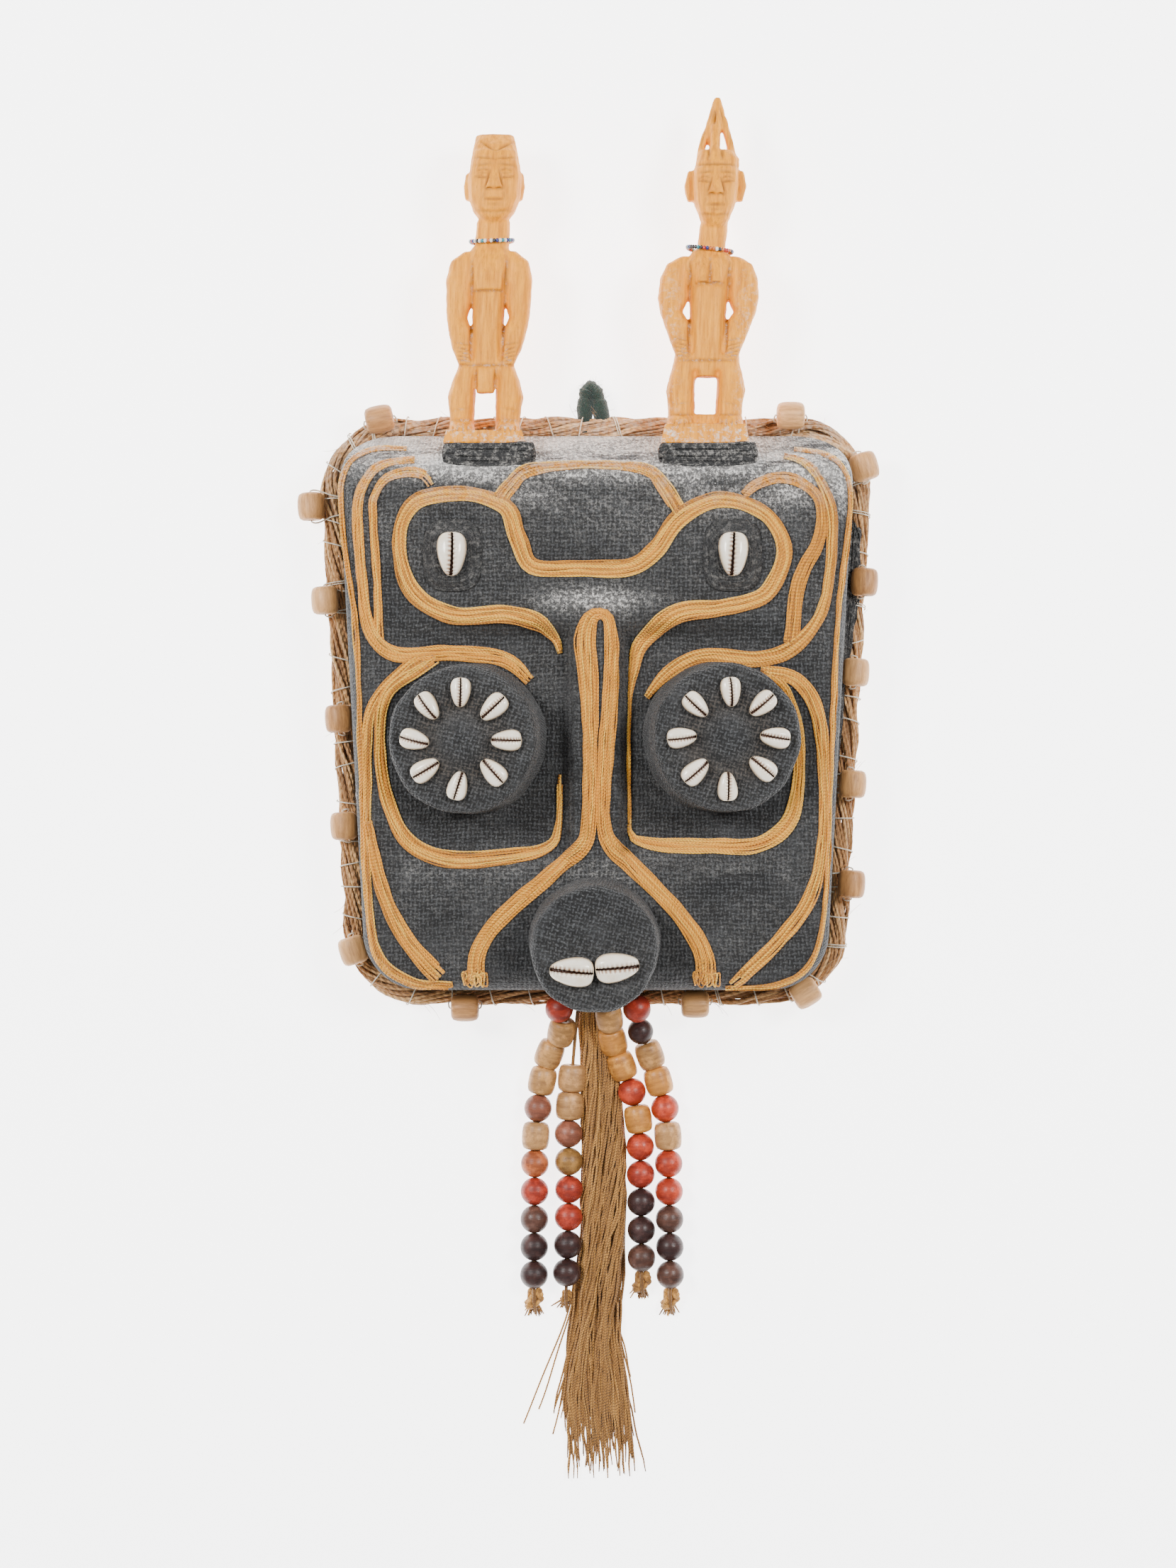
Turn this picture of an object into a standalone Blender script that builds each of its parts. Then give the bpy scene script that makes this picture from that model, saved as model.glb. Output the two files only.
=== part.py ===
"""Shell and reed mask, lying on its back with its face up. Metres, +Z up, +Y towards the top of the head."""

import math

import bmesh
import bpy
from mathutils import Matrix, Vector

# Gap between pieces that touch.
GAP = 0.0003

# The hollow shell: a rounded trapezoid, its top bevelled back.
SHELL_TOP_WIDTH = 0.282
SHELL_LOW_WIDTH = 0.250
SHELL_HEIGHT = 0.304
SHELL_MEAN_WIDTH = (SHELL_TOP_WIDTH + SHELL_LOW_WIDTH) / 2
SHELL_DEPTH = 0.053
SHELL_CORNER = 0.030
SHELL_SIDE_ROUND = 0.015
SHELL_WALL = 0.007
TOP_BEVEL_RUN = 0.021
TOP_BACK_DEPTH = 0.014
FOREHEAD_BULGE = 0.005
SOCKET_DEPTH = 0.012
SOCKET_TOP = 0.050
SOCKET_BOTTOM = -0.080
NOSE_HALF_WIDTH = 0.014
NOSE_SLOPE = 0.008

# The drums.
EYE_X = 0.25 * SHELL_MEAN_WIDTH
EYE_Y = -0.051 * SHELL_HEIGHT
EYE_RADIUS = 0.0395
EYE_HEIGHT = 0.033
EYE_TILT = math.radians(6)
BOSS_RADIUS = 0.012
BOSS_HEIGHT = 0.002
RIM_ROUND = 0.004
MOUTH_X = -0.001
MOUTH_Y = 0.0245 - SHELL_HEIGHT / 2
MOUTH_RADIUS = 0.0335
MOUTH_HEIGHT = 0.034
DRUM_SIDES = 20

# Cowrie shells: length, width and height.
EYE_COWRIE = (0.016, 0.0116, 0.006)
EYE_COWRIE_RING = 0.0248
EYE_COWRIES = 8
MOUTH_COWRIE = (0.0232, 0.0162, 0.008)
SMALL_EYE_COWRIE = (0.0234, 0.0164, 0.008)

# The small eyes on the forehead.
SMALL_EYE_X = 0.2895 * SHELL_MEAN_WIDTH
SMALL_EYE_Y = 0.273 * SHELL_HEIGHT
PAD_WIDTH = 0.030
PAD_LENGTH = 0.0375
PAD_HEIGHT = 0.006

# The rope around the rim and its beads.
ROPE_RADIUS = 0.0055
ROPE_Z = 0.0075
ROPE_UNEVEN = 0.08
ROPE_CORNER_PARTS = 5
ROPE_SIDE_PARTS = 5
BARREL_RADIUS = 0.0076
BARREL_LENGTH = 0.0152

# The bead strings below the mouth.
ROUND_BEAD_RADIUS = 0.0075
STRING_RADIUS = 0.0009
KNOT_RADIUS = 0.0032

# The ochre thread bands.
BAND_THICKNESS = 0.0015
BAND_SUNK = 0.004

# The carved figures, from the soles of the feet to the top of the head.
FIGURE_LEFT_HEIGHT = 0.157
FIGURE_RIGHT_HEIGHT = 0.179
FIGURE_LEFT_X = -0.2086 * SHELL_MEAN_WIDTH
FIGURE_RIGHT_X = 0.235 * SHELL_MEAN_WIDTH
FIGURE_FEET_Y = SHELL_HEIGHT / 2 + 0.0025
FIGURE_Z = 0.036
FIGURE_DEPTH = 0.028
FIGURE_LEFT_BREADTH = 0.060
FIGURE_RIGHT_BREADTH = 0.069
BASE_WIDTH = 0.0455
BASE_HEIGHT = 0.010
WRAP_WIDTH = 0.052
WRAP_HEIGHT = 0.0115

# The hanging loop and the tassel.
LOOP_RADIUS = 0.0042
LOOP_HEIGHT = 0.028
LOOP_HALF_WIDTH = 0.0052
TASSEL_LENGTH = 0.251
TASSEL_TOP_Y = -SHELL_HEIGHT / 2 - 0.0145
TASSEL_DEPTH = 0.012


def smooth(a, b, x):
    """0 before a, 1 after b, with a smooth step between."""
    t = min(1.0, max(0.0, (x - a) / (b - a)))
    return t * t * (3 - 2 * t)


def soft_min(a, b, width):
    """The lower of two heights, with their crease rounded over the width."""
    h = max(width - abs(a - b), 0) / width
    return min(a, b) - h * h * width / 4


def half_width(y):
    """Half the straight width of the shell at height y, corners left aside."""
    t = 0.5 + y / SHELL_HEIGHT
    return (SHELL_LOW_WIDTH + (SHELL_TOP_WIDTH - SHELL_LOW_WIDTH) * t) / 2


def rounded_half_width(y, shrink=0.0):
    """Half the width of the outline at height y, moved in by shrink."""
    corner = max(SHELL_CORNER - shrink, 0.004)
    into = SHELL_HEIGHT / 2 - shrink - abs(y)
    into = min(corner, max(0.0, into))
    return half_width(y) - shrink - corner + math.sqrt(corner**2 - (corner - into) ** 2)


def inset(x, y):
    """How far a point lies inside the rounded outline."""
    dx = abs(x) - half_width(y) + SHELL_CORNER
    dy = abs(y) - SHELL_HEIGHT / 2 + SHELL_CORNER
    outside = math.hypot(max(dx, 0), max(dy, 0))
    return SHELL_CORNER - outside - min(max(dx, dy), 0)


def dome_height(x, y):
    """The shell's front without brow, sockets or nose."""
    d = min(max(inset(x, y), 0), SHELL_SIDE_ROUND)
    side = SHELL_DEPTH - SHELL_SIDE_ROUND + math.sqrt(SHELL_SIDE_ROUND**2 - (SHELL_SIDE_ROUND - d) ** 2)
    run = (SHELL_HEIGHT / 2 - y) / TOP_BEVEL_RUN
    bevel = TOP_BACK_DEPTH + (SHELL_DEPTH + 0.002 - TOP_BACK_DEPTH) * run
    bulge = FOREHEAD_BULGE * math.exp(-((x / 0.09) ** 2) - ((y - 0.095) / 0.05) ** 2)
    return soft_min(side + bulge, bevel, 0.006)


def socket_area(x, y):
    """1 inside the recess that holds the eyes, fading out towards the temples."""
    down = smooth(SOCKET_BOTTOM - 0.012, SOCKET_BOTTOM + 0.012, y) * (1 - smooth(SOCKET_TOP - 0.012, SOCKET_TOP, y))
    return down * (1 - smooth(0.045, 0.118, abs(x)))


def face_height(x, y):
    """The height of the shell's front above its back rim."""
    nose = smooth(NOSE_HALF_WIDTH - NOSE_SLOPE / 2, NOSE_HALF_WIDTH + NOSE_SLOPE / 2, abs(x))
    return dome_height(x, y) - SOCKET_DEPTH * socket_area(x, y) * nose


def inner_height(x, y):
    return dome_height(x, y) - SHELL_WALL - SOCKET_DEPTH * socket_area(x, y)


def row_places(shrink=0.0, fine=True):
    """Heights of the mesh rows, close together where the shell bends."""
    half = SHELL_HEIGHT / 2 - shrink
    ends = (0, 0.0020, 0.0075, 0.016) if fine else (0, 0.006, 0.018)
    top = (0, 0.006, 0.013, 0.020, 0.026) if fine else (0, 0.009, 0.022)
    middle = (
        (-0.112, -0.093, -0.082, -0.070, -0.045, -0.018, 0.010, 0.034, 0.042, 0.050, 0.064, 0.084, 0.104)
        if fine
        else (-0.1, -0.07, -0.03, 0.02, 0.05, 0.09)
    )
    scale = half / 0.152
    return [-half + e for e in ends] + [m * scale for m in middle] + [half - t for t in reversed(top)]


def column_places(half, fine=True):
    """Distances of the mesh columns from the middle line, out to the half width."""
    if not fine:
        return [half * share for share in (0, 0.3, 0.6, 0.85, 1)]
    inner = [0, NOSE_HALF_WIDTH - NOSE_SLOPE / 2, NOSE_HALF_WIDTH, NOSE_HALF_WIDTH + NOSE_SLOPE / 2, 0.027]
    edge = half - SHELL_SIDE_ROUND
    outer = [inner[-1] + (edge - inner[-1]) * share for share in (0.28, 0.6)]
    return inner + outer + [edge, half - 0.0075, half - 0.0020, half]


def height_sheet(bm, height, shrink, fine, lift=0.0):
    """A grid of faces over the outline; returns its border, in order."""
    rows = []
    for y in row_places(shrink, fine):
        half = rounded_half_width(y, shrink)
        right = column_places(half, fine)
        across = [-x for x in reversed(right[1:])] + right
        rows.append([bm.verts.new((x, y, height(x, y) + lift)) for x in across])
    for low, high in zip(rows, rows[1:]):
        for a, b, c, d in zip(low, low[1:], high[1:], high):
            bm.faces.new((a, b, c, d))
    right = [row[-1] for row in rows[1:-1]]
    left = [row[0] for row in rows[1:-1]]
    return rows[0] + right + rows[-1][::-1] + left[::-1]


def wall_down(bm, border, z):
    """A wall from a sheet's border straight down to the height z; returns its lower loop."""
    lower = [bm.verts.new((v.co.x, v.co.y, z)) for v in border]
    for i, top in enumerate(border):
        j = (i + 1) % len(border)
        bm.faces.new((top, lower[i], lower[j], border[j]))
    return lower


def fill_between(bm, *loops):
    """Flat faces between closed loops that lie in one plane."""
    edges = [bm.edges.get((loop[i - 1], loop[i])) for loop in loops for i in range(len(loop))]
    bmesh.ops.triangle_fill(bm, use_beauty=True, use_dissolve=False, edges=edges)


def material(name, colour, roughness, metallic=0.0):
    made = bpy.data.materials.get(name) or bpy.data.materials.new(name)
    made.use_nodes = True
    shader = made.node_tree.nodes["Principled BSDF"]
    shader.inputs["Base Color"].default_value = (*colour, 1)
    shader.inputs["Roughness"].default_value = roughness
    shader.inputs["Metallic"].default_value = metallic
    return made


PAINTS = {
    "burlap": ((0.045, 0.048, 0.053), 0.95),
    "black_cord": ((0.02, 0.02, 0.023), 0.8),
    "ochre_thread": ((0.55, 0.25, 0.05), 0.75),
    "cowrie": ((0.85, 0.78, 0.66), 0.2),
    "figure_wood": ((0.73, 0.34, 0.1), 0.6),
    "bead_wood": ((0.43, 0.22, 0.1), 0.5),
    "red_beads": ((0.45, 0.06, 0.02), 0.3),
    "fibre": ((0.38, 0.17, 0.06), 0.85),
    "green_wool": ((0.01, 0.05, 0.035), 0.95),
}


def finish(bm, name, paint, cutters=()):
    """Turns the mesh into a named object, cuts it by the cutters and returns it."""
    bmesh.ops.recalc_face_normals(bm, faces=bm.faces)
    mesh = bpy.data.meshes.new(name)
    bm.to_mesh(mesh)
    bm.free()
    mesh.shade_smooth()
    mesh.set_sharp_from_angle(angle=math.radians(40))
    obj = bpy.data.objects.new(name, mesh)
    colour, roughness = PAINTS[paint]
    mesh.materials.append(material(f"{name}_{paint}", colour, roughness))
    mask.objects.link(obj)
    for cutter in cutters:
        add_boolean(obj, cutter, "DIFFERENCE", "EXACT")
    return obj


def as_cutter(bm, name):
    bmesh.ops.recalc_face_normals(bm, faces=bm.faces)
    mesh = bpy.data.meshes.new(name)
    bm.to_mesh(mesh)
    bm.free()
    obj = bpy.data.objects.new(name, mesh)
    obj.hide_render = True
    obj.display_type = "WIRE"
    cutters.objects.link(obj)
    return obj


def shell():
    bm = bmesh.new()
    outer = wall_down(bm, height_sheet(bm, face_height, 0, True), 0)
    inner = wall_down(bm, height_sheet(bm, inner_height, SHELL_WALL, False), 0)
    fill_between(bm, outer, inner)
    return finish(bm, "mask_shell", "burlap")


def face_cutter():
    """The filled shell, larger by the gap all round, which cuts what rests on it."""
    bm = bmesh.new()
    border = height_sheet(bm, face_height, 0, True, lift=2 * GAP)
    lower = wall_down(bm, border, -0.02)
    fill_between(bm, lower)
    wider = 1 + 4 * GAP / SHELL_HEIGHT
    bmesh.ops.scale(bm, vec=(wider, wider, 1), verts=bm.verts)
    return as_cutter(bm, "face_cutter")


def turned(bm, profile, sides, place=None):
    """A closed turned body: profile points (radius, height), from the axis to the axis."""
    rings = []
    for radius, height in profile:
        if radius < 1e-6:
            rings.append([bm.verts.new((0, 0, height))])
            continue
        angles = [2 * math.pi * i / sides for i in range(sides)]
        rings.append([bm.verts.new((radius * math.cos(a), radius * math.sin(a), height)) for a in angles])
    join_rings(bm, rings)
    moved = [v for ring in rings for v in ring]
    if place:
        bmesh.ops.transform(bm, matrix=place, verts=moved)
    return moved


def join_rings(bm, rings):
    """Faces between rings in a row; a ring of one point closes the end."""
    for first, second in zip(rings, rings[1:]):
        count = max(len(first), len(second))
        for i in range(count):
            j = (i + 1) % count
            a, b = first[i % len(first)], first[j % len(first)]
            c, d = second[j % len(second)], second[i % len(second)]
            corners = list(dict.fromkeys((a, b, c, d)))
            bm.faces.new(corners)


def drum_frame(x, y, tilt):
    """The drum's own frame: origin in the middle of its base, Z along its axis."""
    floor = SHELL_DEPTH - SOCKET_DEPTH * socket_area(x, y)
    return Matrix.Translation((x, y, floor)) @ Matrix.Rotation(tilt, 4, "Y")


def drum(name, frame, radius, height, sunk, boss=False):
    clear = bmesh.new()
    wide = radius + 3 * GAP
    turned(clear, [(0, height), (wide, height), (wide, -sunk), (0, -sunk)], 2 * DRUM_SIDES, frame)
    drum_cutters.append(as_cutter(clear, f"{name}_cutter"))
    bm = bmesh.new()
    top = [(0, height), (radius - RIM_ROUND, height)]
    if boss:
        top = [(0, height + BOSS_HEIGHT), (BOSS_RADIUS, height + BOSS_HEIGHT), (BOSS_RADIUS + 0.001, height)]
        top.append((radius - RIM_ROUND, height))
    side = [(radius - RIM_ROUND * 0.3, height - RIM_ROUND * 0.3), (radius, height - RIM_ROUND)]
    foot = [(radius, -sunk), (0, -sunk)]
    turned(bm, top + side + foot, DRUM_SIDES, frame)
    return finish(bm, name, "burlap", (face,))


# A cowrie from its wide end to its narrow end: share of the length, of the half width and of the height.
COWRIE_SECTIONS = ((0.0, 0.45, 0.5), (0.09, 0.8, 0.82), (0.36, 1.0, 1.0), (0.7, 0.78, 0.86), (1.0, 0.25, 0.4))
# Half of its cross-section: share of the half width and of the height, with the lip beside the slit.
COWRIE_SIDE = ((0.82, 0.0), (1.0, 0.5), (0.26, 1.0))


def cowrie(name, size, frame):
    """A cowrie with its slit up; the frame has X along the shell, from its wide end, and Z up."""
    length, width, height = size
    bm = bmesh.new()
    rings = []
    for along, wide, tall in COWRIE_SECTIONS:
        right = [(s * wide, h * tall) for s, h in COWRIE_SIDE]
        slit = [(0, 0.72 * tall)]
        across = right + slit + [(-s, h) for s, h in reversed(right)]
        x = (along - 0.5) * length
        rings.append([bm.verts.new(frame @ Vector((x, s * width / 2, h * height))) for s, h in across])
    for first, second in zip(rings, rings[1:]):
        for i in range(len(first)):
            j = (i + 1) % len(first)
            bm.faces.new((first[i], first[j], second[j], second[i]))
    bm.faces.new(rings[0])
    bm.faces.new(rings[-1])
    return finish(bm, name, "cowrie")


def eye(side, sign):
    frame = drum_frame(sign * EYE_X, EYE_Y, sign * EYE_TILT)
    drum(f"eye_drum_{side}", frame, EYE_RADIUS, EYE_HEIGHT, 0.016, boss=True)
    for i in range(EYE_COWRIES):
        turn = math.radians(90) - 2 * math.pi * i / EYE_COWRIES
        out = Matrix.Rotation(turn, 4, "Z") @ Matrix.Translation((EYE_COWRIE_RING, 0, EYE_HEIGHT + GAP))
        cowrie(f"eye_cowrie_{side}_{i + 1}", EYE_COWRIE, frame @ out @ Matrix.Rotation(math.pi, 4, "Z"))


def mouth():
    frame = Matrix.Translation((MOUTH_X, MOUTH_Y, SHELL_DEPTH))
    drum("mouth_drum", frame, MOUTH_RADIUS, MOUTH_HEIGHT, SHELL_DEPTH - 0.034)
    middle = Matrix.Translation((0, -0.010, MOUTH_HEIGHT + GAP))
    apart = MOUTH_COWRIE[0] / 2 + 0.0004
    for side, sign, turn in (("left", -1, math.pi + math.radians(-3)), ("right", 1, math.radians(8))):
        place = Matrix.Translation((sign * apart, 0.0012 * sign, 0)) @ Matrix.Rotation(turn, 4, "Z")
        cowrie(f"mouth_cowrie_{side}", MOUTH_COWRIE, frame @ middle @ place)


def small_eye(side, sign):
    x, y = sign * SMALL_EYE_X, SMALL_EYE_Y
    bm = bmesh.new()
    base = face_height(x, y)
    rings = []
    for grow, height in ((1.0, -0.010), (1.0, 0.0), (0.94, 0.6), (0.72, 1.0)):
        ring = []
        for i in range(16):
            a = 2 * math.pi * (i + 0.5) / 16
            c, s = math.cos(a), math.sin(a)
            px = x + grow * PAD_WIDTH / 2 * math.copysign(abs(c) ** 0.6, c)
            py = y + grow * PAD_LENGTH / 2 * math.copysign(abs(s) ** 0.6, s)
            up = height if height < 0 else height * PAD_HEIGHT
            ring.append(bm.verts.new((px, py, base + up)))
        rings.append(ring)
    join_rings(bm, rings)
    bm.faces.new(rings[0])
    bm.faces.new(rings[-1])
    finish(bm, f"small_eye_pad_{side}", "black_cord", (face,))
    frame = Matrix.Translation((x, y, base + PAD_HEIGHT + GAP)) @ Matrix.Rotation(math.radians(-90), 4, "Z")
    cowrie(f"small_eye_cowrie_{side}", SMALL_EYE_COWRIE, frame)


def curve_through(points, step):
    """Points about a step apart on a smooth curve through the given ones; each may carry a width."""
    ends = [points[0], *points, points[-1]]
    out = []
    for p0, p1, p2, p3 in zip(ends, ends[1:], ends[2:], ends[3:]):
        parts = max(1, round(math.dist(p1[:2], p2[:2]) / step))
        for k in range(parts):
            t = k / parts
            spline = (
                0.5 * (2 * b + (c - a) * t + (2 * a - 5 * b + 4 * c - d) * t**2 + (3 * b - a - 3 * c + d) * t**3)
                for a, b, c, d in zip(p0, p1, p2, p3)
            )
            out.append(tuple(spline))
    return [*out, tuple(points[-1])]


def ribbon(bm, route, step=0.022):
    """A low band of thread along a route of (x, y, width), sunk a little into the face."""
    points = curve_through(route, step)
    rings = []
    for i, (x, y, width) in enumerate(points):
        ahead, behind = points[min(i + 1, len(points) - 1)], points[max(i - 1, 0)]
        along = Vector((ahead[0] - behind[0], ahead[1] - behind[1])).normalized()
        ring = []
        for across, up in ((-0.5, -BAND_SUNK), (0.5, -BAND_SUNK), (0.42, BAND_THICKNESS), (-0.42, BAND_THICKNESS)):
            px, py = x - along.y * across * width, y + along.x * across * width
            ring.append(bm.verts.new((px, py, face_height(px, py) + up + 2 * GAP)))
        rings.append(ring)
    join_rings(bm, rings)
    bm.faces.new(rings[0])
    bm.faces.new(rings[-1])


def united(name, paint, makers, cutters=(), solver="EXACT"):
    """One object from several closed shapes that overlap, joined into a single body and then cut."""
    first = None
    for number, maker in enumerate(makers):
        bm = bmesh.new()
        maker(bm)
        if first is None:
            first = finish(bm, name, paint)
            continue
        add_boolean(first, as_cutter(bm, f"{name}_part_{number}"), "UNION", solver)
    for cutter in cutters:
        add_boolean(first, cutter, "DIFFERENCE", solver)
    return first


def add_boolean(obj, other, operation, solver):
    step = obj.modifiers.new(f"{operation.lower()}_{other.name}", "BOOLEAN")
    step.operation = operation
    step.solver = solver
    step.object = other


def largest_body(obj):
    """Applies the object's modifiers and clears the crumbs that the cuts leave beside its body."""
    bpy.context.view_layer.update()
    graph = bpy.context.evaluated_depsgraph_get()
    mesh = bpy.data.meshes.new_from_object(obj.evaluated_get(graph))
    obj.modifiers.clear()
    obj.data = mesh
    bm = bmesh.new()
    bm.from_mesh(mesh)
    left, bodies = set(bm.verts), []
    while left:
        body, edge = set(), [left.pop()]
        while edge:
            vertex = edge.pop()
            body.add(vertex)
            near = {e.other_vert(vertex) for e in vertex.link_edges} - body
            edge += near
            left -= near
            body |= near
        bodies.append(body)
    biggest = max(bodies, key=len)
    bmesh.ops.delete(bm, geom=[v for v in bm.verts if v not in biggest], context="VERTS")
    bm.to_mesh(mesh)
    bm.free()


# Routes of the thread bands: x, y and the band's width.
BROW_LEFT = (
    (-0.024, 0.040, 0.003), (-0.032, 0.048, 0.008), (-0.050, 0.052, 0.009), (-0.078, 0.051, 0.009),
    (-0.099, 0.064, 0.009), (-0.106, 0.090, 0.0075), (-0.098, 0.111, 0.008), (-0.072, 0.116, 0.008),
    (-0.049, 0.109, 0.009), (-0.042, 0.092, 0.009), (-0.034, 0.077, 0.009), (-0.010, 0.0758, 0.009),
    (0.018, 0.0765, 0.009), (0.032, 0.086, 0.010), (0.045, 0.103, 0.010), (0.067, 0.113, 0.008),
    (0.091, 0.105, 0.008), (0.101, 0.085, 0.008), (0.091, 0.062, 0.009), (0.067, 0.055, 0.009),
    (0.044, 0.052, 0.010), (0.025, 0.037, 0.009), (0.020, 0.021, 0.005),
)
FOREHEAD_ARCH = (
    (-0.052, 0.112, 0.008), (-0.046, 0.120, 0.008), (-0.036, 0.1285, 0.007), (-0.006, 0.131, 0.005),
    (0.026, 0.129, 0.006), (0.036, 0.120, 0.008), (0.045, 0.106, 0.008),
)
TEMPLE_LEFT = (
    (-0.104, 0.134, 0.005), (-0.121, 0.121, 0.006), (-0.127, 0.104, 0.005), (-0.126, 0.075, 0.005),
    (-0.122, 0.044, 0.007), (-0.108, 0.030, 0.008), (-0.079, 0.0305, 0.0075), (-0.050, 0.028, 0.008),
    (-0.034, 0.019, 0.006),
)
TEMPLE_LEFT_INNER = ((-0.100, 0.126, 0.0045), (-0.114, 0.1195, 0.0045), (-0.118, 0.100, 0.0045), (-0.116, 0.064, 0.0045), (-0.117, 0.038, 0.0055))
CHEEK_LEFT = (
    (-0.097, 0.0215, 0.005), (-0.113, 0.008, 0.0065), (-0.1165, -0.018, 0.006), (-0.113, -0.047, 0.007),
    (-0.101, -0.071, 0.0085), (-0.078, -0.081, 0.009), (-0.047, -0.0795, 0.0075), (-0.030, -0.0765, 0.006),
)
CHEEK_LEFT_OUTER = (
    (-0.104, 0.021, 0.005), (-0.121, 0.0, 0.006), (-0.1235, -0.040, 0.005), (-0.1225, -0.095, 0.004),
    (-0.118, -0.131, 0.005), (-0.100, -0.1465, 0.0055), (-0.085, -0.148, 0.005),
)
CHEEK_LEFT_SLANT = ((-0.1225, -0.060, 0.004), (-0.1155, -0.095, 0.007), (-0.102, -0.124, 0.009), (-0.0845, -0.144, 0.009))
TEMPLE_RIGHT = (
    (0.0275, 0.007, 0.004), (0.039, 0.020, 0.007), (0.058, 0.0295, 0.008), (0.089, 0.0275, 0.008),
    (0.107, 0.034, 0.0085), (0.121, 0.052, 0.006), (0.126, 0.080, 0.005), (0.126, 0.110, 0.005),
    (0.115, 0.131, 0.004), (0.102, 0.137, 0.003),
)
TEMPLE_RIGHT_INNER = (
    (0.1055, 0.040, 0.008), (0.110, 0.067, 0.0075), (0.120, 0.088, 0.007), (0.120, 0.106, 0.006),
    (0.110, 0.119, 0.006), (0.093, 0.1205, 0.0055),
)
CHEEK_RIGHT = (
    (0.022, -0.070, 0.005), (0.037, -0.0735, 0.0075), (0.063, -0.074, 0.008), (0.088, -0.0725, 0.008),
    (0.104, -0.060, 0.009), (0.109, -0.040, 0.0065), (0.109, -0.012, 0.005), (0.101, 0.010, 0.007),
    (0.091, 0.0175, 0.0065),
)
CHEEK_RIGHT_OUTER = (
    (0.092, 0.0190, 0.0060), (0.108, 0.016, 0.007), (0.119, -0.003, 0.0075), (0.1225, -0.040, 0.005),
    (0.121, -0.075, 0.005), (0.114, -0.103, 0.0075), (0.098, -0.125, 0.0075), (0.078, -0.144, 0.007),
)
NOSE_LEFT = (
    (0.001, 0.0515, 0.008), (-0.0045, 0.042, 0.011), (-0.0055, 0.026, 0.010), (-0.002, -0.020, 0.0075),
    (-0.0025, -0.058, 0.007), (-0.007, -0.073, 0.009), (-0.020, -0.085, 0.0085), (-0.049, -0.110, 0.0085),
    (-0.063, -0.129, 0.009), (-0.065, -0.144, 0.009),
)
NOSE_RIGHT = (
    (0.0015, 0.0495, 0.006), (0.0075, 0.042, 0.008), (0.0075, 0.026, 0.008), (0.0045, -0.020, 0.0075),
    (0.0035, -0.058, 0.007), (0.008, -0.073, 0.009), (0.020, -0.085, 0.009), (0.043, -0.108, 0.009),
    (0.057, -0.129, 0.010), (0.059, -0.144, 0.010),
)
# The shell's size that the routes above and the places of the rim's beads were read on.
READ_TOP_WIDTH = 0.282
READ_LOW_WIDTH = 0.250
READ_HEIGHT = 0.304


def on_face(route):
    """The route spread with the shell's own width and height."""
    across = SHELL_MEAN_WIDTH / ((READ_TOP_WIDTH + READ_LOW_WIDTH) / 2)
    down = SHELL_HEIGHT / READ_HEIGHT
    return [(x * across, y * down, width) for x, y, width in route]


def on_rim(x, y):
    """A place beside the outline, moved with the shell's own width and height."""
    share = 0.5 + y / READ_HEIGHT
    was = (READ_LOW_WIDTH + (READ_TOP_WIDTH - READ_LOW_WIDTH) * share) / 2
    height = y * SHELL_HEIGHT / READ_HEIGHT
    return x + math.copysign(half_width(height) - was, x) * min(1.0, abs(x) / was), height


def below_rim(route):
    """A string's route, moved with the shell's lower edge."""
    drop = (SHELL_HEIGHT - READ_HEIGHT) / 2
    return [(x, y - drop, z) for x, y, z in route]


def bands():
    groups = {
        "brow_band": (BROW_LEFT, FOREHEAD_ARCH),
        "temple_band_left": (TEMPLE_LEFT, TEMPLE_LEFT_INNER),
        "temple_band_right": (TEMPLE_RIGHT, TEMPLE_RIGHT_INNER),
        "cheek_band_left": (CHEEK_LEFT, CHEEK_LEFT_OUTER, CHEEK_LEFT_SLANT),
        "cheek_band_right": (CHEEK_RIGHT, CHEEK_RIGHT_OUTER),
        "nose_band": (NOSE_LEFT, NOSE_RIGHT),
    }
    for name, routes in groups.items():
        makers = [lambda bm, route=route: ribbon(bm, on_face(route)) for route in routes]
        largest_body(united(name, "ochre_thread", makers, (face, *drum_cutters), "MANIFOLD"))


def way_out(x, y):
    """The direction that leads away from the outline at a point beside it."""
    step = 0.0005
    across = inset(x - step, y) - inset(x + step, y)
    up = inset(x, y - step) - inset(x, y + step)
    return Vector((across, up)).normalized()


def rim_path(out):
    """Points around the outline moved out by out, with their way out: straight sides and round corners."""
    path = []
    radius = SHELL_CORNER + out
    for quarter in range(4):
        right, top = (1, -1, -1, 1)[quarter], (1, 1, -1, -1)[quarter]
        y = top * (SHELL_HEIGHT / 2 - SHELL_CORNER)
        centre = Vector((right * (half_width(y) - SHELL_CORNER), y))
        arc = []
        for k in range(ROPE_CORNER_PARTS + 1):
            a = math.pi / 2 * (quarter + k / ROPE_CORNER_PARTS)
            way = Vector((math.cos(a), math.sin(a)))
            arc.append((centre + way * radius, way))
        if path:
            before = path[-1]
            path += [
                (before[0].lerp(arc[0][0], k / ROPE_SIDE_PARTS), arc[0][1]) for k in range(1, ROPE_SIDE_PARTS)
            ]
        path += arc
    last = path[-1][0]
    path += [(last.lerp(path[0][0], k / ROPE_SIDE_PARTS), path[0][1]) for k in range(1, ROPE_SIDE_PARTS)]
    return path


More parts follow.
